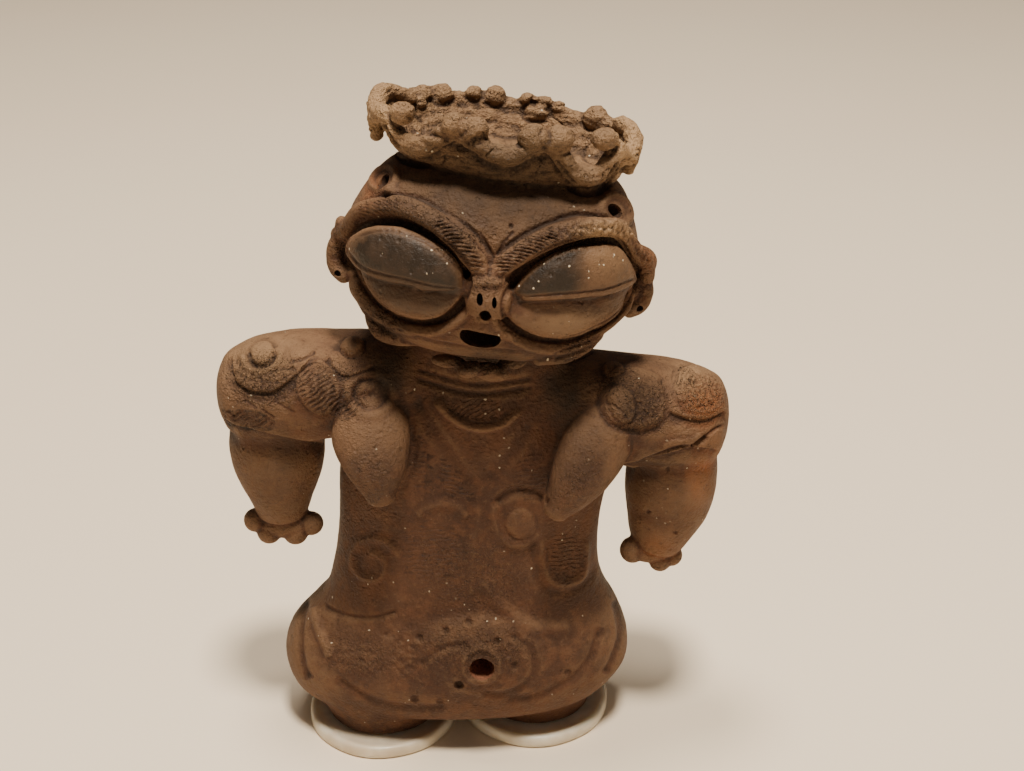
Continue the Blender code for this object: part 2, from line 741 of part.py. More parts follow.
# Mounds in the front drawing: centre, radii, height and tilt; those below 0 are pits
FRONT_MOUNDS = (
    ((-67.8, 143), (4.6, 4.4), 1.3, 0),
    ((-35.1, 144.8), (4.4, 3.8), 2.6, 0),
    ((-46.8, 130.8), (7.5, 10), 1.4, 15),
    ((-28, 128), (5.2, 5.2), 0.9, 0),
    ((66, 126), (13.5, 12), 1.3, 0),
    ((61, 124.3), (4.8, 6.8), 2.1, 18),
    ((58.7, 136.9), (4, 3), 1.5, 0),
    ((90, 130), (10, 9), 1.2, 0),
    ((25.2, 80.5), (5.8, 5.8), 1.3, 0),
    ((1.8, 17), (1.9, 1.9), -2, 0),
)
# Rings in the front drawing: centre, radius, half width and depth
FRONT_RINGS = (
    ((-28.3, 128.3), 7.7, 2.7, -0.8),
    ((-28.3, 128.3), 5, 1.9, 0.3),
    ((10.5, 25.5), 6.8, 2.2, -1.2),
    ((-21.6, 201.4), 4.6, 2, -1.1),
    ((57.4, 190.6), 5.2, 2.2, -1.3),
)
BACK_LINES = (
    (1.7, 1.2, ((-34, 164), (-12, 160), (8, 165))),
    (2, 1.4, ((-8.5, 152), (-8, 110), (-6, 62))),
    (2, -1.4, ((-52, 88), (-30, 79), (-7, 62), (16, 79), (38, 88))),
    (2, 1.5, ((-54, 56), (-30, 49), (-5, 47), (20, 49), (45, 56))),
    (2.2, 1.5, ((-44, 14), (-56, 26), (-50, 40), (-30, 42), (-14, 34))),
    (2.2, 1.5, ((38, 14), (52, 26), (46, 40), (26, 42), (8, 34))),
    (1.8, 1.2, ((-58, 200), (-40, 215), (-15, 221), (10, 218), (30, 205))),
    (1.8, 1.2, ((-56, 193), (-38, 207), (-15, 213), (9, 210), (28, 198))),
)
BACK_STEPS = (
    (11, 1.7, ((-99, 118), (-80, 112), (-64, 113))),
    (11, 1.7, ((46, 122), (62, 121), (82, 126))),
)
BACK_SPIRALS = (
    ((-34, 122), 3, 12.5, 1.7, 200, -1.3),
    ((18, 122), 3, 12.5, -1.7, -20, -1.3),
    ((-82, 136), 2.5, 9, 1.4, 200, -1.2),
    ((62, 146), 2.5, 9, -1.4, -20, -1.2),
)


def draw_front(surface):
    surface.look(FRONT)
    for width, depth, line in FRONT_LINES:
        press(surface, through(line, 6), width, depth)
    for reach, drop, line in FRONT_STEPS:
        terrace(surface, through(line, 6), reach, drop)
    for centre, radii, height, tilt in FRONT_MOUNDS:
        swell(surface, centre, radii, height, tilt)
    for centre, radius, width, depth in FRONT_RINGS:
        press(surface, oval(centre, (radius, radius)), width, depth)
    press(surface, spiral((-30.5, 64.5), 2.5, 11, -1.4, 150), 2.5, -0.9)


def draw_back(surface):
    surface.look(BACK)
    for width, depth, line in BACK_LINES:
        press(surface, through(line, 6), width, depth)
    for reach, drop, line in BACK_STEPS:
        terrace(surface, through(line, 6), reach, drop)
    for centre, start, end, turns, heading, depth in BACK_SPIRALS:
        press(surface, spiral(centre, start, end, turns, heading), 1.8, depth)


def carved_form(voxel):
    skin = whole_form(voxel)
    surface = Surface(skin)
    draw_front(surface)
    draw_back(surface)
    surface.apply()
    return skin


# The parts


def placement(x, y, z):
    """A place in the drawing, in metres: the whole is centred on its two rings' floor."""
    return Vector(
        (
            (x - MIDDLE[0]) * UNIT,
            (y - MIDDLE[1]) * UNIT,
            (z - BREAK_LEVEL) * UNIT + RING_HEIGHT + SEAT_GAP,
        )
    )


def hole_bodies():
    """Closed bodies for the holes."""
    bodies = {}
    for name, centre, radii, aim, depth, roll in HOLES:
        clay = Clay()
        add_ball(clay, (0, 0, 0), (*radii, depth), (0, 0, roll), sides=16)
        turn = Vector(aim).to_track_quat("Z", "Y").to_matrix().to_4x4()
        mesh = clay.mesh()
        if name == "mouth":
            for vertex in mesh.vertices:
                vertex.co.y = min(vertex.co.y, MOUTH_TOP - MOUTH_FALL * vertex.co.x)
        mesh.transform(Matrix.Translation(centre) @ turn)
        bodies[name] = mesh
    return bodies


# The mouth is flat on top: how far over its middle, and how steeply its top falls to one side
MOUTH_FALL = 0.22
MOUTH_TOP = 1.8
# Name, centre, radii, the way they look, half length and roll
HOLES = (
    ("mouth", (11.3, -33, 183.2), (7.5, 4.5), (0, -1, 0.15), 9, -10),
    ("nostril_right", (11.4, -43, 200.6), (1.1, 2.3), (0, -1, 0.4), 6, 0),
    ("nostril_left", (16.2, -43, 199.4), (0.8, 2), (0, -1, 0.4), 6, 0),
    ("philtrum", (13.1, -39, 193.4), (2.5, 3.4), (0, -1, 0.2), 8, 0),
    ("navel", (10.6, -34, 44.5), (4.9, 4.9), (0, -1, 0.12), 14, 0),
    ("head_hole_right", (-22.8, -13.6, 231.5), (2.6, 3.3), (-0.4, -0.7, 0.3), 7.5, 20),
    ("head_hole_left", (57.8, -17, 222), (3.8, 2.5), (0.4, -0.7, 0.3), 8, -25),
    ("ear_hole_right", (-38.9, -6, 195.6), (1.3, 1.3), (0, -1, 0), 12, 0),
    ("ear_hole_left", (67.2, -6, 181.8), (1.3, 1.3), (0, -1, 0), 12, 0),
)


def material(name, colour, roughness):
    made = bpy.data.materials.new(name)
    made.use_nodes = True
    shader = made.node_tree.nodes["Principled BSDF"]
    shader.inputs["Base Color"].default_value = colour
    shader.inputs["Roughness"].default_value = roughness
    return made


def add_object(name, mesh, collection, paint=None):
    obj = bpy.data.objects.new(name, mesh)
    collection.objects.link(obj)
    if paint:
        mesh.materials.append(paint)
    return obj


def cut(obj, cutter):
    step = obj.modifiers.new("cut_" + cutter.name, "BOOLEAN")
    step.operation = "DIFFERENCE"
    step.solver = "EXACT"
    step.object = cutter


def thinned(skin, triangles):
    """A coarser copy of a skin, with about so many triangles."""
    obj = bpy.data.objects.new("skin", skin)
    bpy.context.scene.collection.objects.link(obj)
    flat = obj.modifiers.new("triangles", "TRIANGULATE")
    flat.quad_method = "SHORTEST_DIAGONAL"
    coarse = obj.modifiers.new("thin", "DECIMATE")
    coarse.ratio = triangles / (2 * len(skin.polygons))
    return applied(obj)


def slab_under(level):
    """A broad slab whose top lies at a level, to cut the legs off flat."""
    slab = bpy.data.meshes.new("slab")
    body = bmesh.new()
    bmesh.ops.create_cube(body, size=1)
    body.to_mesh(slab)
    body.free()
    wide, deep, thick = 300, 200, 30
    slab.transform(Matrix.Translation((0, 0, level - thick / 2)) @ Matrix.Diagonal((wide, deep, thick, 1)))
    return slab


def make_figure(collection, cutters):
    skin = thinned(carved_form(DETAIL_VOXEL), SOLID_TRIANGLES)
    for vertex in skin.vertices:
        vertex.co = placement(*vertex.co)
    figure = add_object("dogu", skin, collection, material("fired_clay", CLAY_COLOUR, 0.85))
    for name, mesh in hole_bodies().items():
        for vertex in mesh.vertices:
            vertex.co = placement(*vertex.co)
        cut(figure, add_object("cutter_" + name, mesh, cutters))
    slab = slab_under(BREAK_LEVEL)
    for vertex in slab.vertices:
        vertex.co = placement(*vertex.co)
    cut(figure, add_object("cutter_break", slab, cutters))
    return figure


def ring_profile(radius):
    """The section of a ring from its outer top edge down and round: radius and height."""
    corner = RING_ROUNDING
    rounded = [
        (radius - corner + corner * math.sin(turn), RING_HEIGHT - corner + corner * math.cos(turn))
        for turn in np.linspace(0, math.pi / 2, 4)
    ]
    bevel, hole = RING_CHAMFER, RING_HOLE_RADIUS
    low = [(radius, bevel), (radius - bevel, 0), (hole + bevel, 0), (hole, bevel)]
    return rounded + low + [(hole, RING_HEIGHT - bevel), (hole + bevel, RING_HEIGHT)]


def make_ring(name, place, radius, collection, paint):
    middle = placement(*place, 0)
    outline = ring_profile(radius)
    mesh = bpy.data.meshes.new(name)
    count = len(outline)
    mesh.from_pydata([(r, 0, z) for r, z in outline], [(k, (k + 1) % count) for k in range(count)], [])
    ring = add_object(name, mesh, collection, paint)
    ring.location = (middle.x, middle.y, 0)
    turned = ring.modifiers.new("turn", "SCREW")
    turned.steps = RING_SIDES
    turned.render_steps = RING_SIDES
    turned.use_merge_vertices = True
    turned.merge_threshold = 0.00001
    turned.use_normal_calculate = True
    return ring


def build():
    collection = bpy.data.collections.new("goggle_eyed_dogu")
    cutters = bpy.data.collections.new("cutters")
    for group in (collection, cutters):
        bpy.context.scene.collection.children.link(group)
    figure = make_figure(collection, cutters)
    spacing = (placement(*LEG_PLACES[0], 0) - placement(*LEG_PLACES[1], 0)).length
    radius = (spacing - RING_SPACE) / 2
    paint = material("support_ring", RING_COLOUR, 0.35)
    rings = [
        make_ring(name, place, radius, collection, paint)
        for name, place in zip(("support_ring_right", "support_ring_left"), LEG_PLACES)
    ]
    for obj in cutters.objects:
        obj.hide_render = True
        obj.display_type = "WIRE"
    return [figure] + rings


if __name__ == "__main__":
    clear_scene()
    build()
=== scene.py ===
"""The looks of a goggle-eyed clay figurine on two support rings.

The figure is made again from the drawing that the part's source uses, in the same units, with a
finer skin, and the small relief that the solid leaves out is pressed into it: cord marks,
granules, scratches and pits. Colour layers are worked out on the skin and kept as attributes.
"""

import math

import bmesh
import bpy
import numpy as np
from mathutils import Euler, Matrix, Vector, noise
from mathutils.bvhtree import BVHTree


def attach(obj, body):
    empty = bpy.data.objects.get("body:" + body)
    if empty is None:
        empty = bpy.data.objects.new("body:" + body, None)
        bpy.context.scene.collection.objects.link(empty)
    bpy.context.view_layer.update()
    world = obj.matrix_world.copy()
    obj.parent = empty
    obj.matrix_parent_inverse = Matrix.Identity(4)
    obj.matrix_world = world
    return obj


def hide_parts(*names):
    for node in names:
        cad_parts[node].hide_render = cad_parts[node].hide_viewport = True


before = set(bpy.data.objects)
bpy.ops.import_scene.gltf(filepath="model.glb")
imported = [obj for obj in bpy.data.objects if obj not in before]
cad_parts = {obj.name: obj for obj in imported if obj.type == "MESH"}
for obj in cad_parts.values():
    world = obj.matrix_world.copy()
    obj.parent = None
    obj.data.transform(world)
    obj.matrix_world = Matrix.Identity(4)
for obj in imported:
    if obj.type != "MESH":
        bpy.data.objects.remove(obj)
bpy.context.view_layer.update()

# Sizes, in metres
FIGURE_HEIGHT = 0.245
RING_HEIGHT = 0.005
RING_HOLE_RADIUS = 0.0125
RING_SPACE = 0.0005
SEAT_GAP = 0.0003

# The drawing runs from the broken legs to the tops of the crown's knobs
BREAK_LEVEL = 5.3
TOP_LEVEL = 258.9
UNIT = FIGURE_HEIGHT / (TOP_LEVEL - BREAK_LEVEL)
LEG_PLACES = ((-30, -3.3), (31, 3.3))
LEG_RADIUS = 21.5
MIDDLE = (8, -3.7)
HEAD_LEAN = 7

# Fineness of the clay, in units, and the triangles that the figure may have
FORM_VOXEL = 1.2
FORM_SMOOTHING = 18
FINE_VOXEL = 0.55
JOIN_SMOOTHING = 2
FINE_TRIANGLES = 186000

# A drawing is looked at from an azimuth and an elevation, in degrees
FRONT = (0, 27)
BACK = (180, 8)


# Lumps of clay


def through(keys, steps=6):
    """Rows read from a Catmull-Rom curve through the key rows."""
    keys = np.asarray(keys, float)
    ends = np.vstack([2 * keys[0] - keys[1], keys, 2 * keys[-1] - keys[-2]])
    rows = []
    for i in range(len(keys) - 1):
        before, start, end, after = ends[i : i + 4]
        for t in np.linspace(0, 1, steps, endpoint=False):
            rows.append(
                start
                + 0.5 * t * (end - before)
                + 0.5 * t * t * (2 * before - 5 * start + 4 * end - after)
                + 0.5 * t**3 * (3 * start - before - 3 * end + after)
            )
    rows.append(keys[-1])
    return np.array(rows)


def domed(ring, direction, roundness):
    """Shrinking copies of an end ring, which close a loft with a dome."""
    centre, along, wide, deep = ring
    steps = 5
    made = []
    for k in range(1, steps + 1):
        turn = math.pi / 2 * k / (steps + 0.4)
        lift = direction * roundness * min(wide, deep) * math.sin(turn)
        made.append((centre + along * lift, along, wide * math.cos(turn), deep * math.cos(turn)))
    return made


def add_lump(clay, keys, square=2.0, roundness=0.5, lean=None):
    """A loft through oval sections (x, y, z, half width, half depth), whose depth lies along Y.

    The sections stand across the path, or all lean towards +X by the angle given."""
    sides = 48
    rows = through(keys)
    along = np.gradient(rows[:, :3], axis=0)
    along /= np.linalg.norm(along, axis=1)[:, None]
    if lean is not None:
        along[:] = (math.sin(math.radians(lean)), 0, math.cos(math.radians(lean)))
    rings = [
        (Vector(row[:3]), Vector(way), max(row[3], 0.1), max(row[4], 0.1))
        for row, way in zip(rows, along)
    ]
    rings = domed(rings[0], -1, roundness)[::-1] + rings + domed(rings[-1], 1, roundness)
    loops = []
    for centre, way, wide, deep in rings:
        side = way.cross(Vector((0, 1, 0))).normalized()
        back = side.cross(way).normalized()
        loop = []
        for k in range(sides):
            turn = 2 * math.pi * k / sides
            c, s = math.cos(turn), math.sin(turn)
            reach = (abs(c) ** square + abs(s) ** square) ** (-1 / square)
            loop.append(centre + side * (wide * reach * c) + back * (deep * reach * s))
        loops.append(loop)
    clay.bridge(loops)


class Clay:
    """Closed lumps of points and faces, gathered before they are fused."""

    def __init__(self):
        self.points = []
        self.faces = []

    def bridge(self, loops):
        """One closed body through rings of points that all have the same count."""
        first = len(self.points)
        count = len(loops[0])
        for loop in loops:
            self.points.extend(tuple(point) for point in loop)
        for row in range(len(loops) - 1):
            low = first + row * count
            for k in range(count):
                n = (k + 1) % count
                self.faces.append((low + k, low + n, low + count + n, low + count + k))
        self.faces.append(tuple(range(first + count - 1, first - 1, -1)))
        last = first + (len(loops) - 1) * count
        self.faces.append(tuple(range(last, last + count)))

    def add_mesh(self, mesh, place=Matrix()):
        first = len(self.points)
        self.points.extend(tuple(place @ vertex.co) for vertex in mesh.vertices)
        self.faces.extend(tuple(first + k for k in face.vertices) for face in mesh.polygons)

    def mesh(self):
        mesh = bpy.data.meshes.new("clay")
        mesh.from_pydata(self.points, [], self.faces)
        return mesh


def ball(sides):
    """A ball's mesh, of radius 1."""
    name = "ball_%d" % sides
    if name not in bpy.data.meshes:
        body = bmesh.new()
        bmesh.ops.create_uvsphere(body, u_segments=sides, v_segments=sides // 2, radius=1)
        body.to_mesh(bpy.data.meshes.new(name))
        body.free()
    return bpy.data.meshes[name]


def add_ball(clay, centre, radii, turned=(0, 0, 0), sides=20):
    if not hasattr(radii, "__len__"):
        radii = (radii, radii, radii)
    turn = Euler([math.radians(angle) for angle in turned]).to_matrix().to_4x4()
    clay.add_mesh(ball(sides), Matrix.Translation(centre) @ turn @ Matrix.Diagonal((*radii, 1)))


def add_rope(clay, keys, steps=14):
    """A rope of clay through points (x, y, z, radius), made of balls that overlap."""
    for x, y, z, radius in through(keys, steps):
        add_ball(clay, (x, y, z), radius, sides=12)


def shown(name, data):
    """A new object in the scene."""
    obj = bpy.data.objects.new(name, data)
    bpy.context.scene.collection.objects.link(obj)
    return obj


def fused(clay, voxel, smoothing):
    """The lumps as one closed skin."""
    obj = shown("clay", clay.mesh())
    remesh = obj.modifiers.new("fuse", "REMESH")
    remesh.mode = "VOXEL"
    remesh.voxel_size = voxel
    smooth = obj.modifiers.new("smooth", "SMOOTH")
    smooth.factor = 0.5
    smooth.iterations = smoothing
    return applied(obj)


def applied(obj):
    """The mesh of an object after its modifiers; the object itself goes."""
    graph = bpy.context.evaluated_depsgraph_get()
    skin = bpy.data.meshes.new_from_object(obj.evaluated_get(graph))
    bpy.data.objects.remove(obj)
    return skin


# The form: trunk, arms and head


def add_trunk(clay):
    """The trunk, flaring to wide hips, with the stubs of the two legs."""
    trunk = [
        (-3, 0, 11, 50, 22), (-2.5, 0, 17, 62, 30), (-0.5, 0, 29, 68, 34), (0.5, 0, 41, 67, 33),
        (3, 0, 52, 60.5, 29.5), (4, 0, 60, 55, 27), (4, 0, 72, 51.5, 25.5), (5.5, 0, 90, 50, 24.5),
        (8, 0, 114, 51, 24), (9.5, 0, 130, 51, 23.5), (10, 0, 144, 46, 22), (11.5, 1, 156, 36, 20),
        (12, 1, 166, 30, 19), (12, 1, 180, 27, 18),
    ]
    add_lump(clay, trunk, square=2.3, lean=0, roundness=0.15)
    for x, y in LEG_PLACES:
        stub = [(x, y, 1, LEG_RADIUS, LEG_RADIUS), (x, y, 8, 23.5, 22), (x, y, 20, 30, 26)]
        add_lump(clay, stub, lean=0, roundness=0)
    add_ball(clay, (9, -21, 41), (34, 15, 25))


def add_arms(clay):
    sleeves = (
        [
            (-6, 0, 150, 17, 18), (-34, 0, 149, 18.5, 21), (-56, 0, 147.5, 20, 22.5),
            (-68.5, 0, 145, 20.3, 22), (-77, 0, 143.5, 18, 19),
        ],
        [
            (25, 0, 147, 18, 18), (50, 0, 140.5, 19, 21), (72, 0, 136.5, 20.5, 22.5),
            (84, 0, 134.5, 20.3, 22), (93.2, 0, 133, 18, 19),
        ],
    )
    for sleeve in sleeves:
        add_lump(clay, sleeve, square=2.2)
    forearms = (
        [
            (-65, 0, 137, 17, 17), (-66, 0, 124, 18, 18), (-66, -1, 113, 16.5, 17),
            (-65.5, -3, 102, 12, 13.5), (-65.5, -4, 95, 9.5, 10),
        ],
        [
            (82, 0, 126, 16, 17), (82.5, 0, 112, 17.3, 18), (81.5, 0, 99, 16.8, 17), (79, -2, 88, 13, 14),
            (77, -4, 80, 9.5, 10),
        ],
    )
    for forearm in forearms:
        add_lump(clay, forearm, roundness=0.3)


def add_head(clay):
    head = [
        (11.5, 1, 168.5, 20, 15), (11.5, 0, 172.5, 36.5, 29), (12, 0, 181, 45.5, 35),
        (13.7, 0, 194, 50.7, 36), (15.5, 0, 207, 51.5, 35.5), (17.7, 0, 219, 47.1, 33.5),
        (20, 1, 228, 40.7, 28), (20.4, 2, 232, 33.4, 22),
    ]
    add_lump(clay, head, square=2.4, lean=HEAD_LEAN, roundness=0.15)


def body_form():
    clay = Clay()
    add_trunk(clay)
    add_arms(clay)
    add_head(clay)
    return fused(clay, FORM_VOXEL, FORM_SMOOTHING)


# Clay laid on the form

# The crown's rim: its middle, reach and slope
CROWN_MIDDLE = (20, 3, 247.5)
CROWN_REACH = (43, 28.5)
CROWN_SLOPE = (-0.155, -0.09)
CROWN_ROPE = 3.3
# How the rim rises and hangs: angle from the front, clockwise as seen from above, and lift
CROWN_RIM = (
    (-92, 0), (-80, -4.5), (-68, -1.5), (-62, -3.6), (-54, -8), (-45, -9.1), (-37, -8.2), (-30, -4),
    (-23, 0), (-17, -1), (-9, -4.5), (-2, -5.8), (5, -4.8), (11, -0.8), (18, 0.5), (23, -2),
    (26, -6.5), (31, -9.6), (38, -10.6), (46, -9.4), (53, -5), (58, -1), (68, -5), (78, -3),
    (90, 0), (110, -1), (130, 0), (145, -2), (158, 0), (177, -1.5), (190, 0), (203, -1.5),
    (217, 0), (236, -1.5), (255, 0), (268, 0),
)
# Knobs on the rim: angle, reach beyond the rim, lift, and half sizes along, across and up
CROWN_KNOBS = (
    (-62, 0.4, -3.2, (2.8, 3.4, 4.2)), (-52, 0, 0.8, (4.6, 4.3, 3.9)), (-23, 0.2, 1.4, (4.3, 4.4, 4)),
    (-13.4, 0.2, 1.2, (4.8, 4.4, 4.2)), (11.8, 0.2, 1.6, (5.1, 4.7, 4.4)),
    (23.4, 0.2, 1.6, (5.5, 4.7, 4.5)), (49, 0.2, 2.4, (5.1, 4.4, 3.9)), (58, 0.4, -1.3, (3, 3.6, 4)),
    (132.5, 0, 1.2, (5, 4.4, 4.3)), (154.7, 0, 1.7, (2.8, 2.8, 2.3)), (162, 0, 2.6, (3.6, 3, 2.3)),
    (165, -2.2, -1.6, (4.8, 2.8, 2.8)), (170, 0, 2.8, (3, 2.8, 2.1)), (185.3, 0, 2, (4, 3.8, 3.5)),
    (195.6, 0, 2, (3.3, 3.4, 2.5)), (212, 0, 0.5, (4.2, 4, 3.8)), (223.4, 0, 0.3, (3.6, 3.8, 3)),
    (229.6, -3, -2.1, (2.6, 2.6, 2)), (110, -0.5, 2.5, (3, 3, 2.6)),
)


def crown_point(angle, out, lift):
    """A place on the crown: out from its rim, and up from the slope that the rim follows."""
    turn = math.radians(angle)
    x = (CROWN_REACH[0] + out) * math.sin(turn)
    y = -(CROWN_REACH[1] + out) * math.cos(turn)
    middle = Vector(CROWN_MIDDLE)
    return middle + Vector((x, y, CROWN_SLOPE[0] * x + CROWN_SLOPE[1] * y + lift))


def crown_lift(angle):
    """How high the rim lies over its slope at an angle."""
    angles, lifts = zip(*CROWN_RIM)
    return float(np.interp(angle, angles, lifts, period=360))


def add_crown(clay):
    """A bowl with a scalloped rim: a rope hangs from peak to peak and curls at its ends."""
    wall = [
        (-14, -20, 0), (-9, -18, 0), (-4.5, -15.2, 0), (-3, -12, 0.3), (-1.5, -7, 0.7), (-0.5, -3.5, 1),
        (0.5, -1, 1), (-1.5, 0, 1), (-4, -3, 0.8), (-6, -7, 0.35), (-9, -11, 0.1), (-17, -12, 0),
    ]
    loops = []
    turns = range(0, 360, 4)
    for out, lift, hang in wall:
        loops.append([crown_point(-turn, out, lift + hang * crown_lift(-turn)) for turn in turns])
    clay.bridge(loops)
    rope = [(*crown_point(turn, 0.7, crown_lift(turn)), CROWN_ROPE) for turn in range(0, 361, 6)]
    add_rope(clay, rope, 4)
    for angle, out, lift, sizes in CROWN_KNOBS:
        add_ball(clay, crown_point(angle, out, lift), sizes, (0, 0, angle), sides=16)
    for rope in CROWN_ENDS:
        add_rope(clay, [(*crown_point(angle, out, lift), radius) for angle, out, lift, radius in rope])


# Rolls that hang over the crown's two ends: angle, reach beyond the rim, lift and radius
CROWN_ENDS = (
    (
        (238, -4, -0.4, 2.2), (250, -1, 1.6, 2.9), (261, 0.2, 1.6, 3.3), (268, 0.8, -0.6, 3.4),
        (268, 1.2, -6.8, 3), (268, 1.4, -12.6, 2.4),
    ),
    (
        (108, -1, 2.6, 2.6), (98, 0, 2.4, 2.9), (88, 0.4, 0.6, 3), (84, 0.8, -4.8, 2.7),
        (76, 0.2, -9.6, 2.3),
    ),
)


def add_face(clay, skin):
    """The nose, the cords over the eyes and the ears."""
    add_ball(clay, (13.7, -36.9, 205.2), (6.4, 5, 2.7))
    muzzle = [(14, -34.5, 205, 7.6, 6.5), (14.2, -36, 199, 8.2, 7.5), (13.6, -35.5, 192.5, 7, 6.8)]
    add_lump(clay, muzzle, lean=HEAD_LEAN)
    tree = tree_of(skin)
    right, up, out = sight(FRONT)
    for cord, ends in CORDS:
        rope = []
        for u, v in cord:
            eye = right * u + up * v + out * 200
            hit = tree.ray_cast(eye, -out)[0]
            rope.append((*(hit + out * CORD_RISE), CORD_RADIUS))
        add_rope(clay, rope + list(ends))
    for keys in EARS + CHEEKS:
        add_rope(clay, keys)
    for centre, radii, turned in LUMPS:
        add_ball(clay, centre, radii, turned)


# The cords over the eyes: their radius, how far they stand out, and their points as drawn
CORD_RADIUS = 3.2
CORD_RISE = 0.6
CORDS = (
    (
        ((12.2, 168.5), (7.6, 174.1), (3.9, 178.5), (-5.2, 185.7), (-16, 190.4), (-28.6, 190.3)),
        ((-34.5, -9.5, 213, 3), (-38.5, -3, 208, 3)),
    ),
    (
        ((15.8, 167.5), (21.1, 171.5), (32.3, 178.1), (45.2, 182.5), (57, 183.4)),
        ((64.5, -14, 206, 3.1), (68.5, -9, 200, 3), (69.5, -8, 194, 2.6)),
    ),
)
# Ropes of clay, in points with their radius: the ears
EARS = (
    (
        (-36.8, -6, 213.6, 2.4), (-37.9, -5, 208.6, 2.3), (-39.7, -4, 204, 2.9), (-40, -4, 200, 3.2),
        (-39.2, -5, 196.6, 3.5), (-37, -7, 194.4, 3),
    ),
    (
        (65.2, -6, 203.4, 2.6), (69.4, -5, 199.6, 3.2), (69.5, -4, 195, 2.8), (68.8, -4, 190.5, 3),
        (68.9, -4, 185.8, 3.3), (67, -5, 182, 3.3), (63.6, -8, 181, 2.6),
    ),
)
# The plate's edge from each ear down to the jaw, and the jaw's two corners
CHEEKS = (
    ((-33.6, -9, 195.5, 1.8), (-32.2, -11, 191, 1.9), (-30.6, -13, 188, 1.9), (-28.4, -16, 185.2, 2)),
    (
        (-27.8, -15, 184.2, 1.9), (-26.2, -17, 180.4, 2.6), (-23.4, -19, 177.6, 2.8),
        (-17.5, -22.5, 176.6, 2.4), (-11, -25, 176.5, 1.2),
    ),
    (
        (63.6, -11, 189, 2), (61.8, -13, 184.8, 2), (58.6, -15, 182, 2), (55, -18, 180, 2),
        (50.6, -21, 178, 2), (45, -24, 176, 1.6),
    ),
    ((53.4, -16, 178.8, 2.2), (48, -21, 174.5, 3), (40, -25, 172, 3.1), (31, -28, 171, 1.8)),
)
# Lumps: under the crown's right side, behind the left ear, and broken clay between the chin and the
# neck; middle, radii and turns
LUMPS = (
    ((-17.5, -17, 228), (3, 3, 2.6), (0, 0, 0)), ((64.2, -3, 187), (4.6, 5, 7), (0, 0, 0)),
    ((0, -23, 168.4), (6.4, 3.6, 2.2), (0, 12, 10)),
    ((7.2, -25.4, 166.4), (4.6, 3.8, 2.8), (0, -14, 0)),
    ((14.6, -24.8, 165.2), (6.6, 3.6, 3.1), (10, 8, -8)),
    ((22, -22.6, 167.6), (5.4, 3.4, 2.2), (0, -10, -10)),
)


def add_hands(clay):
    right = (((-65, -6, 91.5), (11, 6, 5.5)), ((-75.5, -6, 93), 4.6), ((-70.5, -7, 88.5), 4.7))
    right += (((-60.5, -7, 88.3), 4.9), ((-54.5, -6, 91.5), 4.7))
    left = (((75.5, -6, 80), (9, 6, 5.5)), ((68.5, -6, 79.5), 5.2), ((79, -7, 75.5), 4.6))
    left += (((83.5, -6, 77), 4.3), ((80, -5, 80.5), 5))
    for centre, radii in right + left:
        add_ball(clay, centre, radii)


def add_breasts(clay):
    breasts = (
        [
            (-30, -15, 146, 12, 9), (-28.5, -23, 139, 14, 9.5), (-26.5, -28.6, 129, 11.4, 8.8),
            (-25, -32, 119, 5.4, 5.6),
        ],
        [
            (57, -15, 141, 12, 9), (51, -22, 132, 12.5, 9.5), (44.5, -27.5, 122, 10, 8.6),
            (37.6, -31, 112.5, 5, 5.2),
        ],
    )
    for breast in breasts:
        add_lump(clay, breast, roundness=0.7)


def tree_of(skin):
    body = bmesh.new()
    body.from_mesh(skin)
    tree = BVHTree.FromBMesh(body)
    body.free()
    return tree


def whole_form(voxel):
    """The form with its eyes, and the laid-on clay fused to it."""
    skin = body_form()
    surface = Surface(skin)
    surface.look(FRONT, 0.1)
    draw_eyes(surface)
    surface.apply()
    clay = Clay()
    clay.add_mesh(skin)
    add_crown(clay)
    add_face(clay, skin)
    add_hands(clay)
    add_breasts(clay)
    return fused(clay, voxel, JOIN_SMOOTHING)


# Lines pressed into the clay, and ridges raised on it, as seen in a drawing


def sight(view):
    """The right, up and outward directions of a drawing."""
    azimuth, elevation = (math.radians(angle) for angle in view)
    right = Vector((math.cos(azimuth), math.sin(azimuth), 0))
    level = Vector((math.sin(azimuth), -math.cos(azimuth), 0))
    out = level * math.cos(elevation) + Vector((0, 0, math.sin(elevation)))
    return right, out.cross(right), out


def soft(x):
    """0 below 0, 1 above 1 and a smooth step between."""
    x = np.clip(x, 0, 1)
    return x * x * (3 - 2 * x)


class Surface:
    """The points of a skin, with what a drawing sees of each."""

    def __init__(self, skin):
        self.skin = skin
        count = len(skin.vertices)
        self.points = np.empty(count * 3)
        skin.vertices.foreach_get("co", self.points)
        self.points = self.points.reshape(-1, 3)
        self.normals = np.empty(count * 3)
        skin.vertex_normals.foreach_get("vector", self.normals)
        self.normals = self.normals.reshape(-1, 3)
        self.lift = np.zeros(count)

    def look(self, view, grazing=0.25):
        """Looks at the skin: only the points in sight, and facing the eye, are moved."""
        right, up, out = sight(view)
        tree = tree_of(self.skin)
        facing = self.normals @ np.array(out)
        self.seen = soft((facing - 0.03) / grazing)
        for i in np.flatnonzero(self.seen):
            start = Vector(self.points[i]) + Vector(self.normals[i]) * 0.6 + out * 0.6
            if tree.ray_cast(start, out, 60)[0] is not None:
                self.seen[i] = 0
        self.u = self.points @ np.array(right)
        self.v = self.points @ np.array(up)

    def near(self, low, high, margin):
        inside = (self.u > low[0] - margin) & (self.u < high[0] + margin)
        inside &= (self.v > low[1] - margin) & (self.v < high[1] + margin)
        return np.flatnonzero(inside & (self.seen > 0))

    def move(self, which, amount):
        self.lift[which] += amount * self.seen[which]

    def apply(self):
        moved = self.points + self.normals * self.lift[:, None]
        self.skin.vertices.foreach_set("co", moved.ravel())
        self.skin.update()


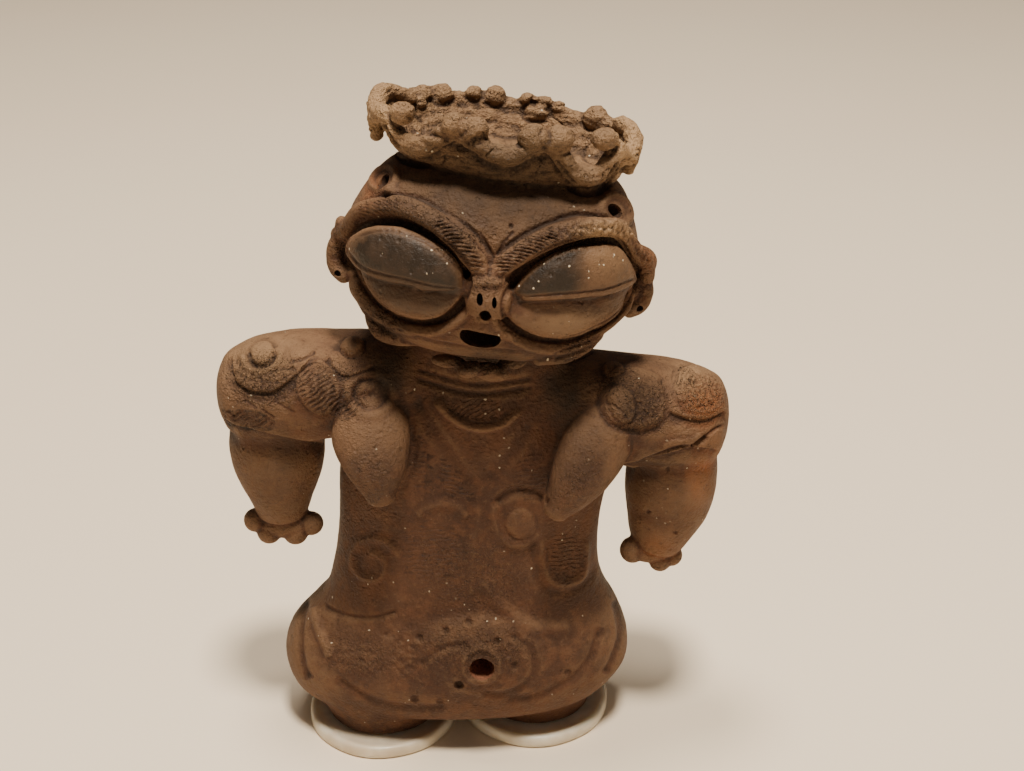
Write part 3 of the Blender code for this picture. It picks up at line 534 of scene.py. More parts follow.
def offset_from(surface, line, margin):
    """For the points near a line: which they are, how far off, on which side and how far along."""
    line = np.asarray(line, float)
    which = surface.near(line.min(axis=0), line.max(axis=0), margin)
    spots = np.stack([surface.u[which], surface.v[which]], axis=1)
    nearest = np.full(len(which), 1e9)
    side = np.zeros(len(which))
    travel = np.zeros(len(which))
    done = 0
    for start, end in zip(line, line[1:]):
        way = end - start
        length = max(np.hypot(*way), 1e-6)
        way = way / length
        gap = spots - start
        t = np.clip(gap @ way, 0, length)
        off = np.hypot(*(gap - t[:, None] * way).T)
        closer = off < nearest
        nearest[closer] = off[closer]
        side[closer] = np.sign(way[0] * gap[:, 1] - way[1] * gap[:, 0])[closer]
        travel[closer] = (done + t)[closer]
        done += length
    return which, nearest, side, travel / done


def oval(centre, radii):
    """The outline of an oval."""
    count = 40
    turns = [2 * math.pi * k / count for k in range(count + 1)]
    return [
        (centre[0] + radii[0] * math.cos(turn), centre[1] + radii[1] * math.sin(turn)) for turn in turns
    ]


def spiral(centre, start, end, turns, heading):
    """A line that winds round a centre, from one radius to another."""
    count = max(8, int(abs(turns) * 20))
    line = []
    for k in range(count + 1):
        t = k / count
        radius = start + (end - start) * t
        angle = math.radians(heading) + 2 * math.pi * turns * t
        line.append((centre[0] + radius * math.cos(angle), centre[1] + radius * math.sin(angle)))
    return line


def press(surface, line, width, depth):
    """A groove along a line, or a ridge if the depth is below 0, fading at both ends."""
    which, off, _, travel = offset_from(surface, line, width)
    ends = 1.0
    if np.hypot(*(np.subtract(line[0], line[-1]))) > 0.5:
        ends = soft(travel * 12 + 0.2) * soft((1 - travel) * 12 + 0.2)
    surface.move(which, -depth * soft(1 - off / width) * ends)


def terrace(surface, line, width, drop):
    """A step along a line: the right-hand side of the way lies lower, fading out by the width."""
    which, off, side, travel = offset_from(surface, line, width)
    ends = soft(travel * 10) * soft((1 - travel) * 10)
    edge = soft(0.5 - side * off / 0.9) * soft(1 - off / width)
    surface.move(which, -drop * edge * ends)


def mound(away):
    """The height of a mound, from 1 at its middle to 0 at its steep edge, where the distance is 1."""
    return (1 - np.clip(away, 0, 1) ** 2.2) ** (1 / 2.2)


def rotated(u, v, angle):
    """Distances along and across a direction in a drawing."""
    turn = math.radians(angle)
    return u * math.cos(turn) + v * math.sin(turn), v * math.cos(turn) - u * math.sin(turn)


def in_oval(surface, centre, radii, tilt):
    """The points near an oval, and how far out each lies: 0 at its middle and 1 at its outline."""
    which = surface.near(centre, centre, max(radii))
    a, b = rotated(surface.u[which] - centre[0], surface.v[which] - centre[1], tilt)
    return which, np.hypot(a / radii[0], b / radii[1])


def swell(surface, centre, radii, height, tilt=0):
    """A mound with an oval outline, or a hollow if the height is below 0."""
    which, away = in_oval(surface, centre, radii, tilt)
    surface.move(which, height * mound(away))


def eye_depth(surface, outline):
    """The points in and round an eye, and how far inside its outline each lies."""
    rim = through(outline + outline[:1], 5)
    which, off, side, _ = offset_from(surface, rim, EYE_REACH)
    return which, -off * side


def draw_eyes(surface):
    """Each eye is a great bean, with a moat round it, a rim beyond and a slit across it."""
    for outline, slit in EYES:
        which, depth = eye_depth(surface, outline)
        surface.move(which, EYE_HEIGHT * mound(1 - depth / EYE_REACH))
        for away, width, height in EYE_RIMS:
            surface.move(which, height * soft(1 - abs(depth + away) / width))
        terrace(surface, through(slit), LID_REACH, LID_DROP)
        press(surface, through(slit), *SLIT)


# How high an eye rises, and how far in from its outline
EYE_HEIGHT = 5.6
EYE_REACH = 14
# How far the lower lid lies under the upper one, and how far down the step reaches
LID_DROP = 3.2
LID_REACH = 9
# Half width and depth of the slit
SLIT = (1.7, 1.2)
# The moat and the rim round an eye: how far out, half width and height
EYE_RIMS = ((1.3, 2.5, -3.3), (4.3, 2, 1.4))
# Each eye's outline, clockwise, and its slit
EYES = (
    (
        (
            (-33.8, 178.6), (-31, 182.6), (-24.5, 184.8), (-15, 183.9), (-5.4, 179.7), (2.6, 174.4),
            (6.6, 167), (4.9, 159.6), (-2.6, 154), (-12, 153.9), (-20.8, 157.9), (-28.2, 165.3),
            (-33.2, 174),
        ),
        (
            (-33.2, 176), (-29.8, 171.9), (-25.5, 169.4), (-19.5, 167.5), (-12.5, 165.9), (-4.8, 163.9),
            (6.2, 162.6),
        ),
    ),
    (
        (
            (21, 161), (24.8, 166.6), (30.2, 171.6), (38, 176), (47.2, 178), (55.8, 178.8), (60.2, 175.6),
            (64.4, 167.2), (61.8, 161.4), (57.4, 155.8), (50.9, 151.8), (44, 148.5), (36.5, 147.4),
            (28.6, 148.6), (21.8, 152.6), (20, 156.6),
        ),
        (
            (21.2, 161.6), (26.6, 160.5), (32.5, 160.8), (44.4, 161.8), (52, 162.9), (57.6, 164.6),
            (64.6, 167.8),
        ),
    ),
)


# Half width and depth of the lines in the front drawing; those below 0 stand up as ridges
FRONT_LINES = (
    # Bands and lines over the brow cords
    (2.4, -1, ((13.9, 170.8), (10.6, 176.3), (2.4, 185.5), (-9.8, 191.9), (-20, 193.6))),
    (2.4, -1, ((16.2, 170.8), (21.1, 175.5), (36.8, 183.6), (53.8, 186.4))),
    (1.5, 1.1, ((15.2, 173.5), (10.8, 180), (1.5, 187.2), (-10.8, 193.6), (-24, 194.6))),
    (1.5, 1.1, ((16.6, 173.5), (22.4, 178.2), (32.4, 184), (44.4, 188), (56.5, 186.2))),
    # Neck and chest
    (1.6, 0.7, ((-13, 137), (0.4, 133.1), (11.3, 131.4), (30, 133.5))),
    (1.8, 0.9, ((-13, 133.9), (3.1, 129), (14.1, 128.3), (30, 130.5))),
    (2.4, -1.7, ((-5.5, 126), (0.3, 120), (5.7, 116.9), (12.6, 115.9), (19.6, 117.9), (25, 122.5))),
    (3.6, 0.8, ((-12.5, 127), (-8.1, 117.9), (-2.7, 109.5), (2.8, 101), (6.9, 94.6))),
    (3.6, 0.7, ((28.5, 117.5), (23, 108.8), (18.1, 102.5), (13.2, 96.7))),
    # Scrolls on the trunk
    (3, -0.8, ((-13.2, 83.5), (-9.5, 86.5), (-3.1, 88), (2.5, 86.5), (6, 82.8))),
    (2.6, 1.3, ((16, 88), (20.9, 92), (25.1, 92.7), (30.1, 91.9), (34.5, 88.6))),
    (3, -0.9, ((16.5, 88), (15.2, 83.6), (17.3, 76.9), (21.6, 72.6), (27.6, 73), (32.2, 78))),
    (2.6, -1.2, ((33, 75), (33.5, 65.9), (36.8, 58.2), (42.3, 55.9), (48.9, 59.1), (50.5, 73))),
    (2.6, 0.7, ((29.8, 74), (30, 65), (34, 55.6), (42.3, 52.4), (50.6, 55.8), (55, 64))),
    (4, -0.7, ((10.5, 88), (7.8, 72.9), (7.1, 63.5), (7, 52.1))),
    # Hips and belly
    (1.6, 0.9, ((-51.6, 46), (-45.3, 43.6), (-36.5, 42.5), (-27.9, 43.4), (-21, 46))),
    (3.2, -1.4, ((-56, 44.5), (-52.5, 35.8), (-47.5, 26.5))),
    (2.8, 1.3, ((-60.1, 47), (-61.4, 35.7), (-60, 23), (-57, 16.2))),
    (3, 1, ((-46.2, 18.5), (-37.9, 13.1), (-28.7, 8.9), (-17.5, 7), (-2.7, 7.4))),
    (2.2, 0.8, ((-13.3, 24.8), (-7.6, 29.9), (-2.1, 32.4), (6, 33.5))),
    (2.6, 1, ((21.4, 37.4), (28.7, 31.6), (31, 23.8), (26.9, 17), (18.6, 13.1), (10, 14))),
    (4.4, -1.3, ((10.5, 60), (16, 50.2), (25, 42.5), (33.2, 38.9), (45, 38.8))),
    (3, 1, ((56.5, 38), (52.9, 26.8), (47.3, 19.5), (38, 14.1), (30.6, 11.4), (19.5, 10.8))),
    (2.8, 1.3, ((62.5, 47), (65.2, 35.3), (62.2, 24.7), (58.5, 18.1))),
    # The figure's right sleeve, and its left one
    (1.5, 1.6, ((-73, 143.5), (-71, 139.6), (-67.5, 138.2), (-64, 139.6), (-62.6, 143))),
    (1.7, -1, ((-75.2, 142.8), (-73, 138), (-67.5, 135.9), (-62, 138.2), (-60.4, 143.4))),
    (2.4, 1.1, ((60.5, 131.8), (55.6, 130.6), (53.3, 125), (55.1, 119.9), (58.5, 116.6), (68.8, 114.6))),
    (2.3, 0.9, ((68, 114.6), (73.9, 116.6), (77.4, 121.7), (77.4, 128.2), (75, 134))),
)
# Steps in the front drawing: how far they reach, and how far the right of the way drops
FRONT_STEPS = (
    (
        7, 1.6,
        (
            (-79.5, 143), (-77.5, 134.1), (-72.9, 130.3), (-67.3, 129), (-61.4, 129.8), (-52.6, 137.2),
            (-48.2, 143),
        ),
    ),
    (5, 1.3, ((-42.8, 142), (-41.4, 137.8), (-38.1, 135.1), (-33.4, 135.4), (-26, 139))),
    (11, 1.7, ((-83.5, 121), (-79.4, 117.3), (-71.6, 115.3), (-56.1, 111.3), (-46, 109.5))),
    (6, 1.5, ((77.7, 122), (85.6, 119.4), (92.3, 119.3), (99.8, 122.4))),
    (11, 1.7, ((60, 101.5), (72.4, 104.7), (80, 107), (87.8, 108.6), (99, 107.4))),
)
# Mounds in the front drawing: centre, radii, height and tilt; those below 0 are pits
FRONT_MOUNDS = (
    ((-67.8, 143), (4.6, 4.4), 1.3, 0), ((-35.1, 144.8), (4.4, 3.8), 2.6, 0),
    ((-46.8, 130.8), (7.5, 10), 1.4, 15), ((-28, 128), (5.2, 5.2), 0.9, 0),
    ((66, 126), (13.5, 12), 1.3, 0), ((61, 124.3), (4.8, 6.8), 2.1, 18), ((58.7, 136.9), (4, 3), 1.5, 0),
    ((90, 130), (10, 9), 1.2, 0), ((25.2, 80.5), (5.8, 5.8), 1.3, 0), ((1.8, 17), (1.9, 1.9), -2, 0),
)
# Rings in the front drawing: centre, radius, half width and depth
FRONT_RINGS = (
    ((-28.3, 128.3), 7.7, 2.7, -0.8), ((-28.3, 128.3), 5, 1.9, 0.3), ((10.5, 25.5), 6.8, 2.2, -1.2),
    ((-21.6, 201.4), 4.6, 2, -1.1), ((57.4, 190.6), 5.2, 2.2, -1.3),
)
# Lines and steps in the back drawing, given in the same way
BACK_LINES = (
    (1.7, 1.2, ((-34, 164), (-12, 160), (8, 165))), (2, 1.4, ((-8.5, 152), (-8, 110), (-6, 62))),
    (2, -1.4, ((-52, 88), (-30, 79), (-7, 62), (16, 79), (38, 88))),
    (2, 1.5, ((-54, 56), (-30, 49), (-5, 47), (20, 49), (45, 56))),
    (2.2, 1.5, ((-44, 14), (-56, 26), (-50, 40), (-30, 42), (-14, 34))),
    (2.2, 1.5, ((38, 14), (52, 26), (46, 40), (26, 42), (8, 34))),
    (1.8, 1.2, ((-58, 200), (-40, 215), (-15, 221), (10, 218), (30, 205))),
    (1.8, 1.2, ((-56, 193), (-38, 207), (-15, 213), (9, 210), (28, 198))),
)
BACK_STEPS = (
    (11, 1.7, ((-99, 118), (-80, 112), (-64, 113))), (11, 1.7, ((46, 122), (62, 121), (82, 126))),
)
# Spirals in the back drawing: centre, first and last radius, turns, heading and depth
BACK_SPIRALS = (
    ((-34, 122), 3, 12.5, 1.7, 200, -1.3), ((18, 122), 3, 12.5, -1.7, -20, -1.3),
    ((-82, 136), 2.5, 9, 1.4, 200, -1.2), ((62, 146), 2.5, 9, -1.4, -20, -1.2),
)


def draw(surface, lines, steps=()):
    for width, depth, line in lines:
        press(surface, through(line), width, depth)
    for reach, drop, line in steps:
        terrace(surface, through(line), reach, drop)


def draw_front(surface):
    surface.look(FRONT)
    draw(surface, FRONT_LINES, FRONT_STEPS)
    for centre, radii, height, tilt in FRONT_MOUNDS:
        swell(surface, centre, radii, height, tilt)
    for centre, radius, width, depth in FRONT_RINGS:
        press(surface, oval(centre, (radius, radius)), width, depth)
    press(surface, spiral((-30.5, 64.5), 2.5, 11, -1.4, 150), 2.5, -0.9)


def draw_back(surface):
    surface.look(BACK)
    draw(surface, BACK_LINES, BACK_STEPS)
    for centre, start, end, turns, heading, depth in BACK_SPIRALS:
        press(surface, spiral(centre, start, end, turns, heading), 1.8, depth)


def placement(x, y, z):
    """A place in the drawing, in metres: the whole is centred on its two rings' floor."""
    return Vector(
        (
            (x - MIDDLE[0]) * UNIT,
            (y - MIDDLE[1]) * UNIT,
            (z - BREAK_LEVEL) * UNIT + RING_HEIGHT + SEAT_GAP,
        )
    )


def hole_bodies():
    """Closed bodies for the holes."""
    bodies = {}
    for name, centre, radii, aim, depth, roll in HOLES:
        clay = Clay()
        add_ball(clay, (0, 0, 0), (*radii, depth), (0, 0, roll), sides=16)
        turn = Vector(aim).to_track_quat("Z", "Y").to_matrix().to_4x4()
        mesh = clay.mesh()
        if name == "mouth":
            for vertex in mesh.vertices:
                vertex.co.y = min(vertex.co.y, MOUTH_TOP - MOUTH_FALL * vertex.co.x)
        mesh.transform(Matrix.Translation(centre) @ turn)
        bodies[name] = mesh
    return bodies


# The mouth is flat on top: how far over its middle, and how steeply its top falls to one side
MOUTH_FALL = 0.22
MOUTH_TOP = 1.8
# Name, centre, radii, the way they look, half length and roll
HOLES = (
    ("mouth", (11.3, -33, 183.2), (7.5, 4.5), (0, -1, 0.15), 9, -10),
    ("nostril_right", (11.4, -43, 200.6), (1.1, 2.3), (0, -1, 0.4), 6, 0),
    ("nostril_left", (16.2, -43, 199.4), (0.8, 2), (0, -1, 0.4), 6, 0),
    ("philtrum", (13.1, -39, 193.4), (2.5, 3.4), (0, -1, 0.2), 8, 0),
    ("navel", (10.6, -34, 44.5), (4.9, 4.9), (0, -1, 0.12), 14, 0),
    ("head_hole_right", (-22.8, -13.6, 231.5), (2.6, 3.3), (-0.4, -0.7, 0.3), 7.5, 20),
    ("head_hole_left", (57.8, -17, 222), (3.8, 2.5), (0.4, -0.7, 0.3), 8, -25),
    ("ear_hole_right", (-38.9, -6, 195.6), (1.3, 1.3), (0, -1, 0), 12, 0),
    ("ear_hole_left", (67.2, -6, 181.8), (1.3, 1.3), (0, -1, 0), 12, 0),
)


def cut(obj, cutter):
    step = obj.modifiers.new("cut_" + cutter.name, "BOOLEAN")
    step.operation = "DIFFERENCE"
    step.solver = "EXACT"
    step.object = cutter


def thinned(skin, triangles):
    """A coarser copy of a skin, with about so many triangles."""
    obj = shown("skin", skin)
    flat = obj.modifiers.new("triangles", "TRIANGULATE")
    flat.quad_method = "SHORTEST_DIAGONAL"
    coarse = obj.modifiers.new("thin", "DECIMATE")
    coarse.ratio = triangles / (2 * len(skin.polygons))
    return applied(obj)


def slab_under(level):
    """A broad slab whose top lies at a level, to cut the legs off flat."""
    slab = bpy.data.meshes.new("slab")
    body = bmesh.new()
    bmesh.ops.create_cube(body, size=1)
    body.to_mesh(slab)
    body.free()
    wide, deep, thick = 300, 200, 30
    slab.transform(Matrix.Translation((0, 0, level - thick / 2)) @ Matrix.Diagonal((wide, deep, thick, 1)))
    return slab


# Fine relief, as seen in a drawing


# How much of a patch of relief, a band of it or a patch of colour its fading edge takes up
PATCH_FADE = 0.25
BAND_FADE = 0.4
COLOUR_FADE = 0.8


def inside(surface, centre, radii, tilt, fade=PATCH_FADE):
    """The points in an oval patch, and how deep in it each lies, from 0 at its edge to 1."""
    which, away = in_oval(surface, centre, radii, tilt)
    return which, soft((1 - away) / fade)


def beside(surface, line, width):
    """The same for a band along a line."""
    which, off, _, _ = offset_from(surface, through(line), width)
    return which, soft((1 - off / width) / BAND_FADE)


# A grain stands up within this share of its size from its middle
GRAIN_REACH = 0.42


def granules(surface, patch, size, depth):
    """Small grains standing up, with gaps between them."""
    which, amount = patch
    gaps = [noise.voronoi(Vector(surface.points[i]) / size)[0][0] for i in which]
    surface.move(which, depth * (GRAIN_REACH - np.array(gaps)) * amount)


def strokes_over(surface, centre, radii, tilt, heading, spacing):
    """Parallel strokes in a patch: its points, how deep in it each lies, and the phase there."""
    bend, bend_rate = 0.25, 0.9
    which, amount = inside(surface, centre, radii, tilt)
    along, across = rotated(surface.u[which], surface.v[which], heading)
    return which, amount, (across + bend * np.sin(along * bend_rate)) / spacing


def strokes_along(surface, line, width, pitch, slant):
    """The same for the slanting strokes of a twisted cord, one after the other along it."""
    line = through(line)
    length = np.hypot(*np.diff(line, axis=0).T).sum()
    which, off, side, travel = offset_from(surface, line, width)
    ends = soft(travel * 8) * soft((1 - travel) * 8)
    amount = soft((1 - off / width) / BAND_FADE) * ends
    return which, amount, (travel * length + off * side * slant) / pitch


def all_strokes(surface):
    """Each patch of strokes, with its depth."""
    for centre, radii, tilt, heading, spacing, depth in CORD_MARKS:
        yield depth, strokes_over(surface, centre, radii, tilt, heading, spacing)
    for line, width, pitch, slant, depth in TWISTS:
        yield depth, strokes_along(surface, line, width, pitch, slant)


def waves(spot, kinds):
    """Smooth random waves: for each kind its height, then its size, or its size along each axis."""
    total = 0
    for height, *size in kinds:
        place = spot / size[0] if len(size) == 1 else Vector([at / wide for at, wide in zip(spot, size)])
        total += height * noise.noise(place)
    return total


def over_slope(x, z, level):
    """How far a place lies over a level that slopes sideways as the crown's rim does."""
    return z - level - CROWN_SLOPE[0] * (x - CROWN_MIDDLE[0])


def weather(surface):
    """A worked surface: slow waves and fine streaks all over, and a rough, cracked crown."""
    for i, point in enumerate(surface.points):
        spot = Vector(point)
        lift = waves(spot, SKIN_WAVES)
        crown = over_slope(point[0], point[2], ROUGH_LEVEL) / ROUGH_FADE
        if crown > 0:
            crack = max(0, 1 - abs(noise.noise(spot / CRACK_SIZE + CRACK_SHIFT)) / CRACK_WIDTH)
            crack *= max(0, min(1, 3 * noise.noise(spot / CRACKED_AREA)))
            lift += min(crown, 1) * (waves(spot, CROWN_WAVES) - CRACK_DEPTH * crack)
        surface.lift[i] += lift


# Waves and streaks all over the skin; lumps, grains and layers of the crown
SKIN_WAVES = ((0.28, 13), (0.1, 4.2), (0.05, 5, 1.6, 1.3))
CROWN_WAVES = ((0.42, 3.6), (0.2, 1.5), (0.45, 7, 7, 1.2))
# Where the crown's roughness begins, and how far up it reaches its full strength
ROUGH_LEVEL = 231
ROUGH_FADE = 5
# Cracks in the crown: spacing, a shift of their noise, width, depth, and size of the cracked areas
CRACK_SIZE = 7
CRACK_SHIFT = Vector((40, 0, 0))
CRACK_WIDTH = 0.05
CRACK_DEPTH = 0.9
CRACKED_AREA = 11


# Cord marks: patch centre, radii and tilt, then heading, spacing and depth of the strokes
CORD_MARKS = (
    ((-47, 130.5), (7.2, 9.4), 15, 36, 1.6, 0.55), ((-37.5, 123.6), (6.2, 4), -20, 36, 1.6, 0.55),
    ((-71, 118.8), (9, 3.6), -10, 25, 1.7, 0.45), ((-80, 119.5), (3, 3), 0, -28, 1.5, 0.5),
    ((42.2, 67.8), (7.6, 9.6), 0, 3, 1.7, 0.25), ((9.9, 123), (11, 4), 0, 35, 1.6, 0.3),
    ((1, 96.5), (4.5, 9.5), 32, -14, 1.7, 0.35), ((-12, 103), (4, 11), 0, -8, 1.8, 0.3),
    ((29.5, 98), (7, 9), 0, 8, 1.8, 0.28), ((-8, 70), (13, 12), 0, 4, 1.9, 0.2),
    ((84, 134.5), (5, 4), 0, 62, 1.6, 0.4), ((61, 134), (6, 4), 0, 20, 1.6, 0.35),
)
# Granules: patch centre, radii and tilt, then their size and depth
GRANULES = (
    ((70, 125), (8, 9.4), 0, 1.6, 1), ((62, 117.5), (5, 2.6), -20, 1.6, 1.1),
    ((12, 138), (16, 3.4), 0, 2.6, 1), ((14, 166), (7, 4), 0, 2.4, 0.9),
    ((-22, 152), (9, 6), -40, 2.6, 0.9), ((-38, 182), (4, 12), 0, 2.4, 0.5),
    ((68, 172), (5, 12), 0, 2.4, 0.5), ((89.3, 128.3), (9.8, 6.4), 0, 1.6, 1.5),
    ((-28.6, 129.6), (5, 5), 0, 1.8, 0.9), ((7, 29), (24, 15), 0, 2.6, 0.6),
    ((15.5, 26), (14, 12), 0, 2.1, 0.5), ((-38, 27), (13, 9), -10, 2.6, 0.7),
    ((-19, 28), (5, 9), 0, 2.1, 1.1), ((-26, 97), (9, 14), 0, 2.6, 0.25),
    ((46, 98), (7, 14), -30, 2.4, 0.3), ((27, 96), (8, 5), 0, 2, 0.35), ((36, 35), (14, 8), 0, 2.6, 0.3),
)
# The granular crescent on the right sleeve, and the outer stretch of the right brow
GRANULAR_BANDS = (
    (((-77.6, 138.5), (-75.3, 134.6), (-70, 132.5), (-64.2, 132.6), (-54.6, 138.6)), 3.1, 1.8, 1.5),
    (((36, 180), (44, 182.6), (51, 183.6), (58, 183.4), (64, 180.5), (68, 176)), 3.2, 1.8, 1.7),
)
# Twisted stretches of the brow cords: line, half width, pitch, slant and depth
TWISTS = (
    (((12, 168), (7.4, 174.8), (2.8, 180.2), (-4.4, 185.2)), 3, 1.8, -0.9, 1),
    (((-14.5, 189.8), (-23, 190.3), (-31, 188.2)), 2.8, 2, 1.6, 0.3),
    (((16.5, 168.4), (21.4, 172.4), (29, 177), (38, 181)), 3, 1.7, 1.1, 0.9),
)
# Fine lines: half width, depth and points
FINE_LINES = (
    (0.8, 0.6, ((11.4, 181.7), (14, 177.3), (16.2, 172.9))),
    (0.8, 0.6, ((22.6, 181.7), (18.8, 177.3), (17, 173.7))),
    (0.7, 0.5, ((14.2, 172), (8.6, 179.4), (0, 187.4), (-11, 193.2), (-22, 194.6))),
    (0.7, 0.5, ((17.2, 172), (23, 177.6), (37, 185.2), (54, 187.4))),
    # Edges of the upper lids
    (0.9, 0.5, ((-30.4, 181), (-20.4, 182.4), (-14, 181), (-6, 178), (2.6, 171.3), (4, 168.6))),
    # Scratches on the right sleeve
    (0.8, 0.35, ((-74, 126), (-68.6, 122.9))), (0.8, 0.35, ((-67, 122.9), (-62.4, 119.6))),
    (0.8, 0.35, ((-62.5, 125.5), (-55, 121.5))),
    # Lobe by the boss, and the curl's shadow
    (1, 0.9, ((-56.4, 139.9), (-52.7, 140.5), (-48.2, 143.2))),
    (1.1, 1.1, ((-38.6, 143.2), (-36.6, 141.7), (-34, 141.7), (-31.7, 143.7), (-31.2, 146.5))),
    (1.6, 0.7, ((-34, 126.6), (-33.8, 130), (-31.4, 132.4), (-27.6, 132.6))),
    # The left sleeve: the mound's edge, and the repaired break under it
    (1.8, 0.35, ((60.5, 131), (64.4, 128.4), (66.6, 124), (66.2, 119))),
    (1.1, 1, ((68.2, 103.6), (80.7, 108.7), (87.3, 109.3), (89.9, 111.3), (95.2, 115.2), (99.6, 117))),
    (1.4, 1.6, ((87, 108.6), (89.6, 110.4), (92.6, 112.6))),
    (1.4, -0.6, ((76, 109.4), (80.7, 111), (86, 111.4), (90, 113.6))),
    # Crease under the crown's middle rope
    (1.4, 1, ((-13, 219.4), (-6, 213.8), (0, 210.6), (5.6, 208.6), (12, 211), (22, 213.6), (30, 215.6))),
    # The chin's edge and the cheeks
    (1, 0.6, ((-13, 148.6), (-4, 146), (9, 144), (24, 142.6))),
    (0.8, 0.7, ((-27, 153.6), (-20.6, 150.6), (-14.6, 149.6))),
    (0.8, 0.5, ((35.9, 141.6), (42.2, 144.2), (48.5, 146.4), (53, 149))),
    (0.8, 0.5, ((36.6, 140.2), (43.8, 142.4), (51, 145.2))),
    (0.8, 0.7, ((40, 139.4), (46, 141), (52, 143.6))),
    # The trunk
    (1.4, 0.5, ((-14, 115), (-12.6, 108), (-14, 101), (-17, 93))),
)
# Small pits: centre, radius and depth
PITS = (
    ((21.7, 183.4), 1, 0.9), ((-13.2, 35.6), 1.5, 0.9), ((-3.1, 38.7), 1.5, 0.9), ((5.6, 42), 1.6, 0.9),
    ((-15.5, 10.9), 1.8, 0.9), ((-5.8, 10), 1.6, 0.8), ((43.5, 20.8), 1.5, 0.8), ((16.4, 34.8), 1.6, 0.8),
    ((23.2, 25.2), 1.8, 0.7), ((-36, 26), 1.2, 0.5), ((-26.1, 36.5), 1, 0.5), ((79, 100), 0.9, 0.6),
    ((73, 84), 0.8, 0.5), ((83.5, 76), 0.9, 0.5),
)


def drawn(point):
    """Where the front drawing shows a point."""
    right, up, _ = sight(FRONT)
    return point.dot(right), point.dot(up)


def crease_crown(surface):
    """Creases under the crown's hanging rope, and round the foot of each larger knob."""
    for start, end in ROPE_CREASES:
        turns = range(start, end + 1, 4)
        line = [drawn(crown_point(turn, 2, crown_lift(turn) - CROWN_ROPE - 1.4)) for turn in turns]
        press(surface, through(line, 3), 1.9, 1.5)
    for angle, out, lift, sizes in CROWN_KNOBS:
        middle = drawn(crown_point(angle, out, lift))
        if sizes[0] > 3.2:
            press(surface, oval(middle, (sizes[0] + 0.5, sizes[2] + 0.9)), 1.2, 0.5)


# Where the rope hangs over the crown's wall: angles of the crown, from and to
ROPE_CREASES = ((-68, -26), (-22, 18), (20, 62))


def draw_fine(surface):
    surface.look(FRONT)
    crease_crown(surface)
    for outline, slit in EYES:
        which, depth = eye_depth(surface, outline)
        surface.move(which, -soft(1 - abs(depth + 1) / 1.5))
        press(surface, through(slit), 1, 0.7)
    for depth, (which, amount, phase) in all_strokes(surface):
        # The strokes are worn away in places
        worn = [0.7 + 1.3 * noise.noise(Vector(surface.points[i]) / 2.6) for i in which]
        surface.move(which, -depth * np.sin(math.pi * phase) ** 2 * amount * np.clip(worn, 0, 1))
    for centre, radii, tilt, size, depth in GRANULES:
        granules(surface, inside(surface, centre, radii, tilt), size, depth)
    for line, width, size, depth in GRANULAR_BANDS:
        granules(surface, beside(surface, line, width), size, depth)
    draw(surface, FINE_LINES)
    for centre, radius, depth in PITS:
        swell(surface, centre, (radius, radius), -depth)


def fine_skin():
    skin = whole_form(FINE_VOXEL)
    surface = Surface(skin)
    draw_front(surface)
    draw_fine(surface)
    draw_back(surface)
    weather(surface)
    surface.apply()
    return thinned(skin, FINE_TRIANGLES)


# Colour layers


def lift_to(layer, which, amount):
    """Raises a layer to an amount at the points where it is lower."""
    layer[which] = np.maximum(layer[which], amount)


def spread(surface, layer, centre, radii, amount, tilt):
    which, depth = inside(surface, centre, radii, tilt, COLOUR_FADE)
    lift_to(layer, which, amount * depth)


# Dark, tan and orange patches: centre, radii, tilt and amount. The dark ones mostly stand for the
# photograph's shade; the others follow the clay's own changes of colour
DARK = (
    ((-27, 156), (10, 14), -40, 0.4), ((-20, 152), (14, 6), -20, 0.4), ((-5, 182), (12, 6), -40, 0.35),
    ((18, 196), (54, 27), -4, 0.72), ((66, 125), (15, 14), 0, 0.3), ((-25, 106), (15, 28), 0, 0.35),
    ((45, 104), (15, 24), -30, 0.35), ((-64, 94), (16, 22), 0, 0.3), ((80, 86), (12, 20), 0, 0.2),
    ((-60, 105), (8, 16), 0, 0.5), ((69, 96), (8, 14), 0, 0.4), ((74, 102), (12, 8), 0, 0.4),
    ((8, 128), (30, 9), 0, 0.35), ((-22, 136), (10, 15), 0, 1), ((41, 129), (12, 18), 0, 1),
    ((14, 140), (30, 7), 0, 0.6),
)
TAN = (
    ((55, 173), (14, 9), 10, 0.22), ((54, 182.5), (17, 5.4), 5, 1), ((88, 133), (13, 10), 0, 0.45),
    ((-68, 141), (22, 13), 0, 0.4), ((40, 152), (16, 6), 5, 0.3),
)
ORANGE = (
    ((91, 125), (12, 13), 0, 0.75), ((92, 98), (9, 18), 0, 0.5), ((96, 110), (6, 14), 0, 0.25),
    ((-26, 200), (8, 12), 0, 0.3), ((70, 178), (6, 12), 0, 0.3), ((78, 70), (10, 10), 0, 0.3),
)
# Where the clay is rough with cord marks and grains: patch centre, radii, tilt and amount
COARSE = (
    ((-66, 133), (20, 15), 0, 1), ((-40, 130), (16, 16), 0, 0.8), ((-70, 118), (14, 7), -10, 0.35),
    ((68, 124), (16, 14), 0, 1), ((90, 126), (13, 12), 0, 1), ((60, 132), (16, 8), 0, 0.7),
    ((44, 66), (11, 15), 0, 0.3), ((8, 32), (30, 16), 0, 0.45), ((-36, 28), (20, 13), 0, 0.4),
    ((8, 60), (30, 24), 0, 0.35), ((-24, 152), (12, 8), -30, 0.5), ((46, 143), (12, 6), 20, 0.6),
    ((12, 138), (18, 5), 0, 0.5), ((14, 165), (8, 6), 0, 0.5), ((-38, 180), (5, 14), 0, 0.35),
    ((68, 172), (6, 14), 0, 0.35), ((-10, 187), (22, 7), -25, 0.7), ((5, 178), (9, 9), 0, 0.8),
    ((42, 180), (28, 7), 10, 0.5), ((-28, 95), (12, 20), 0, 0.25), ((46, 98), (10, 20), -30, 0.35),
)


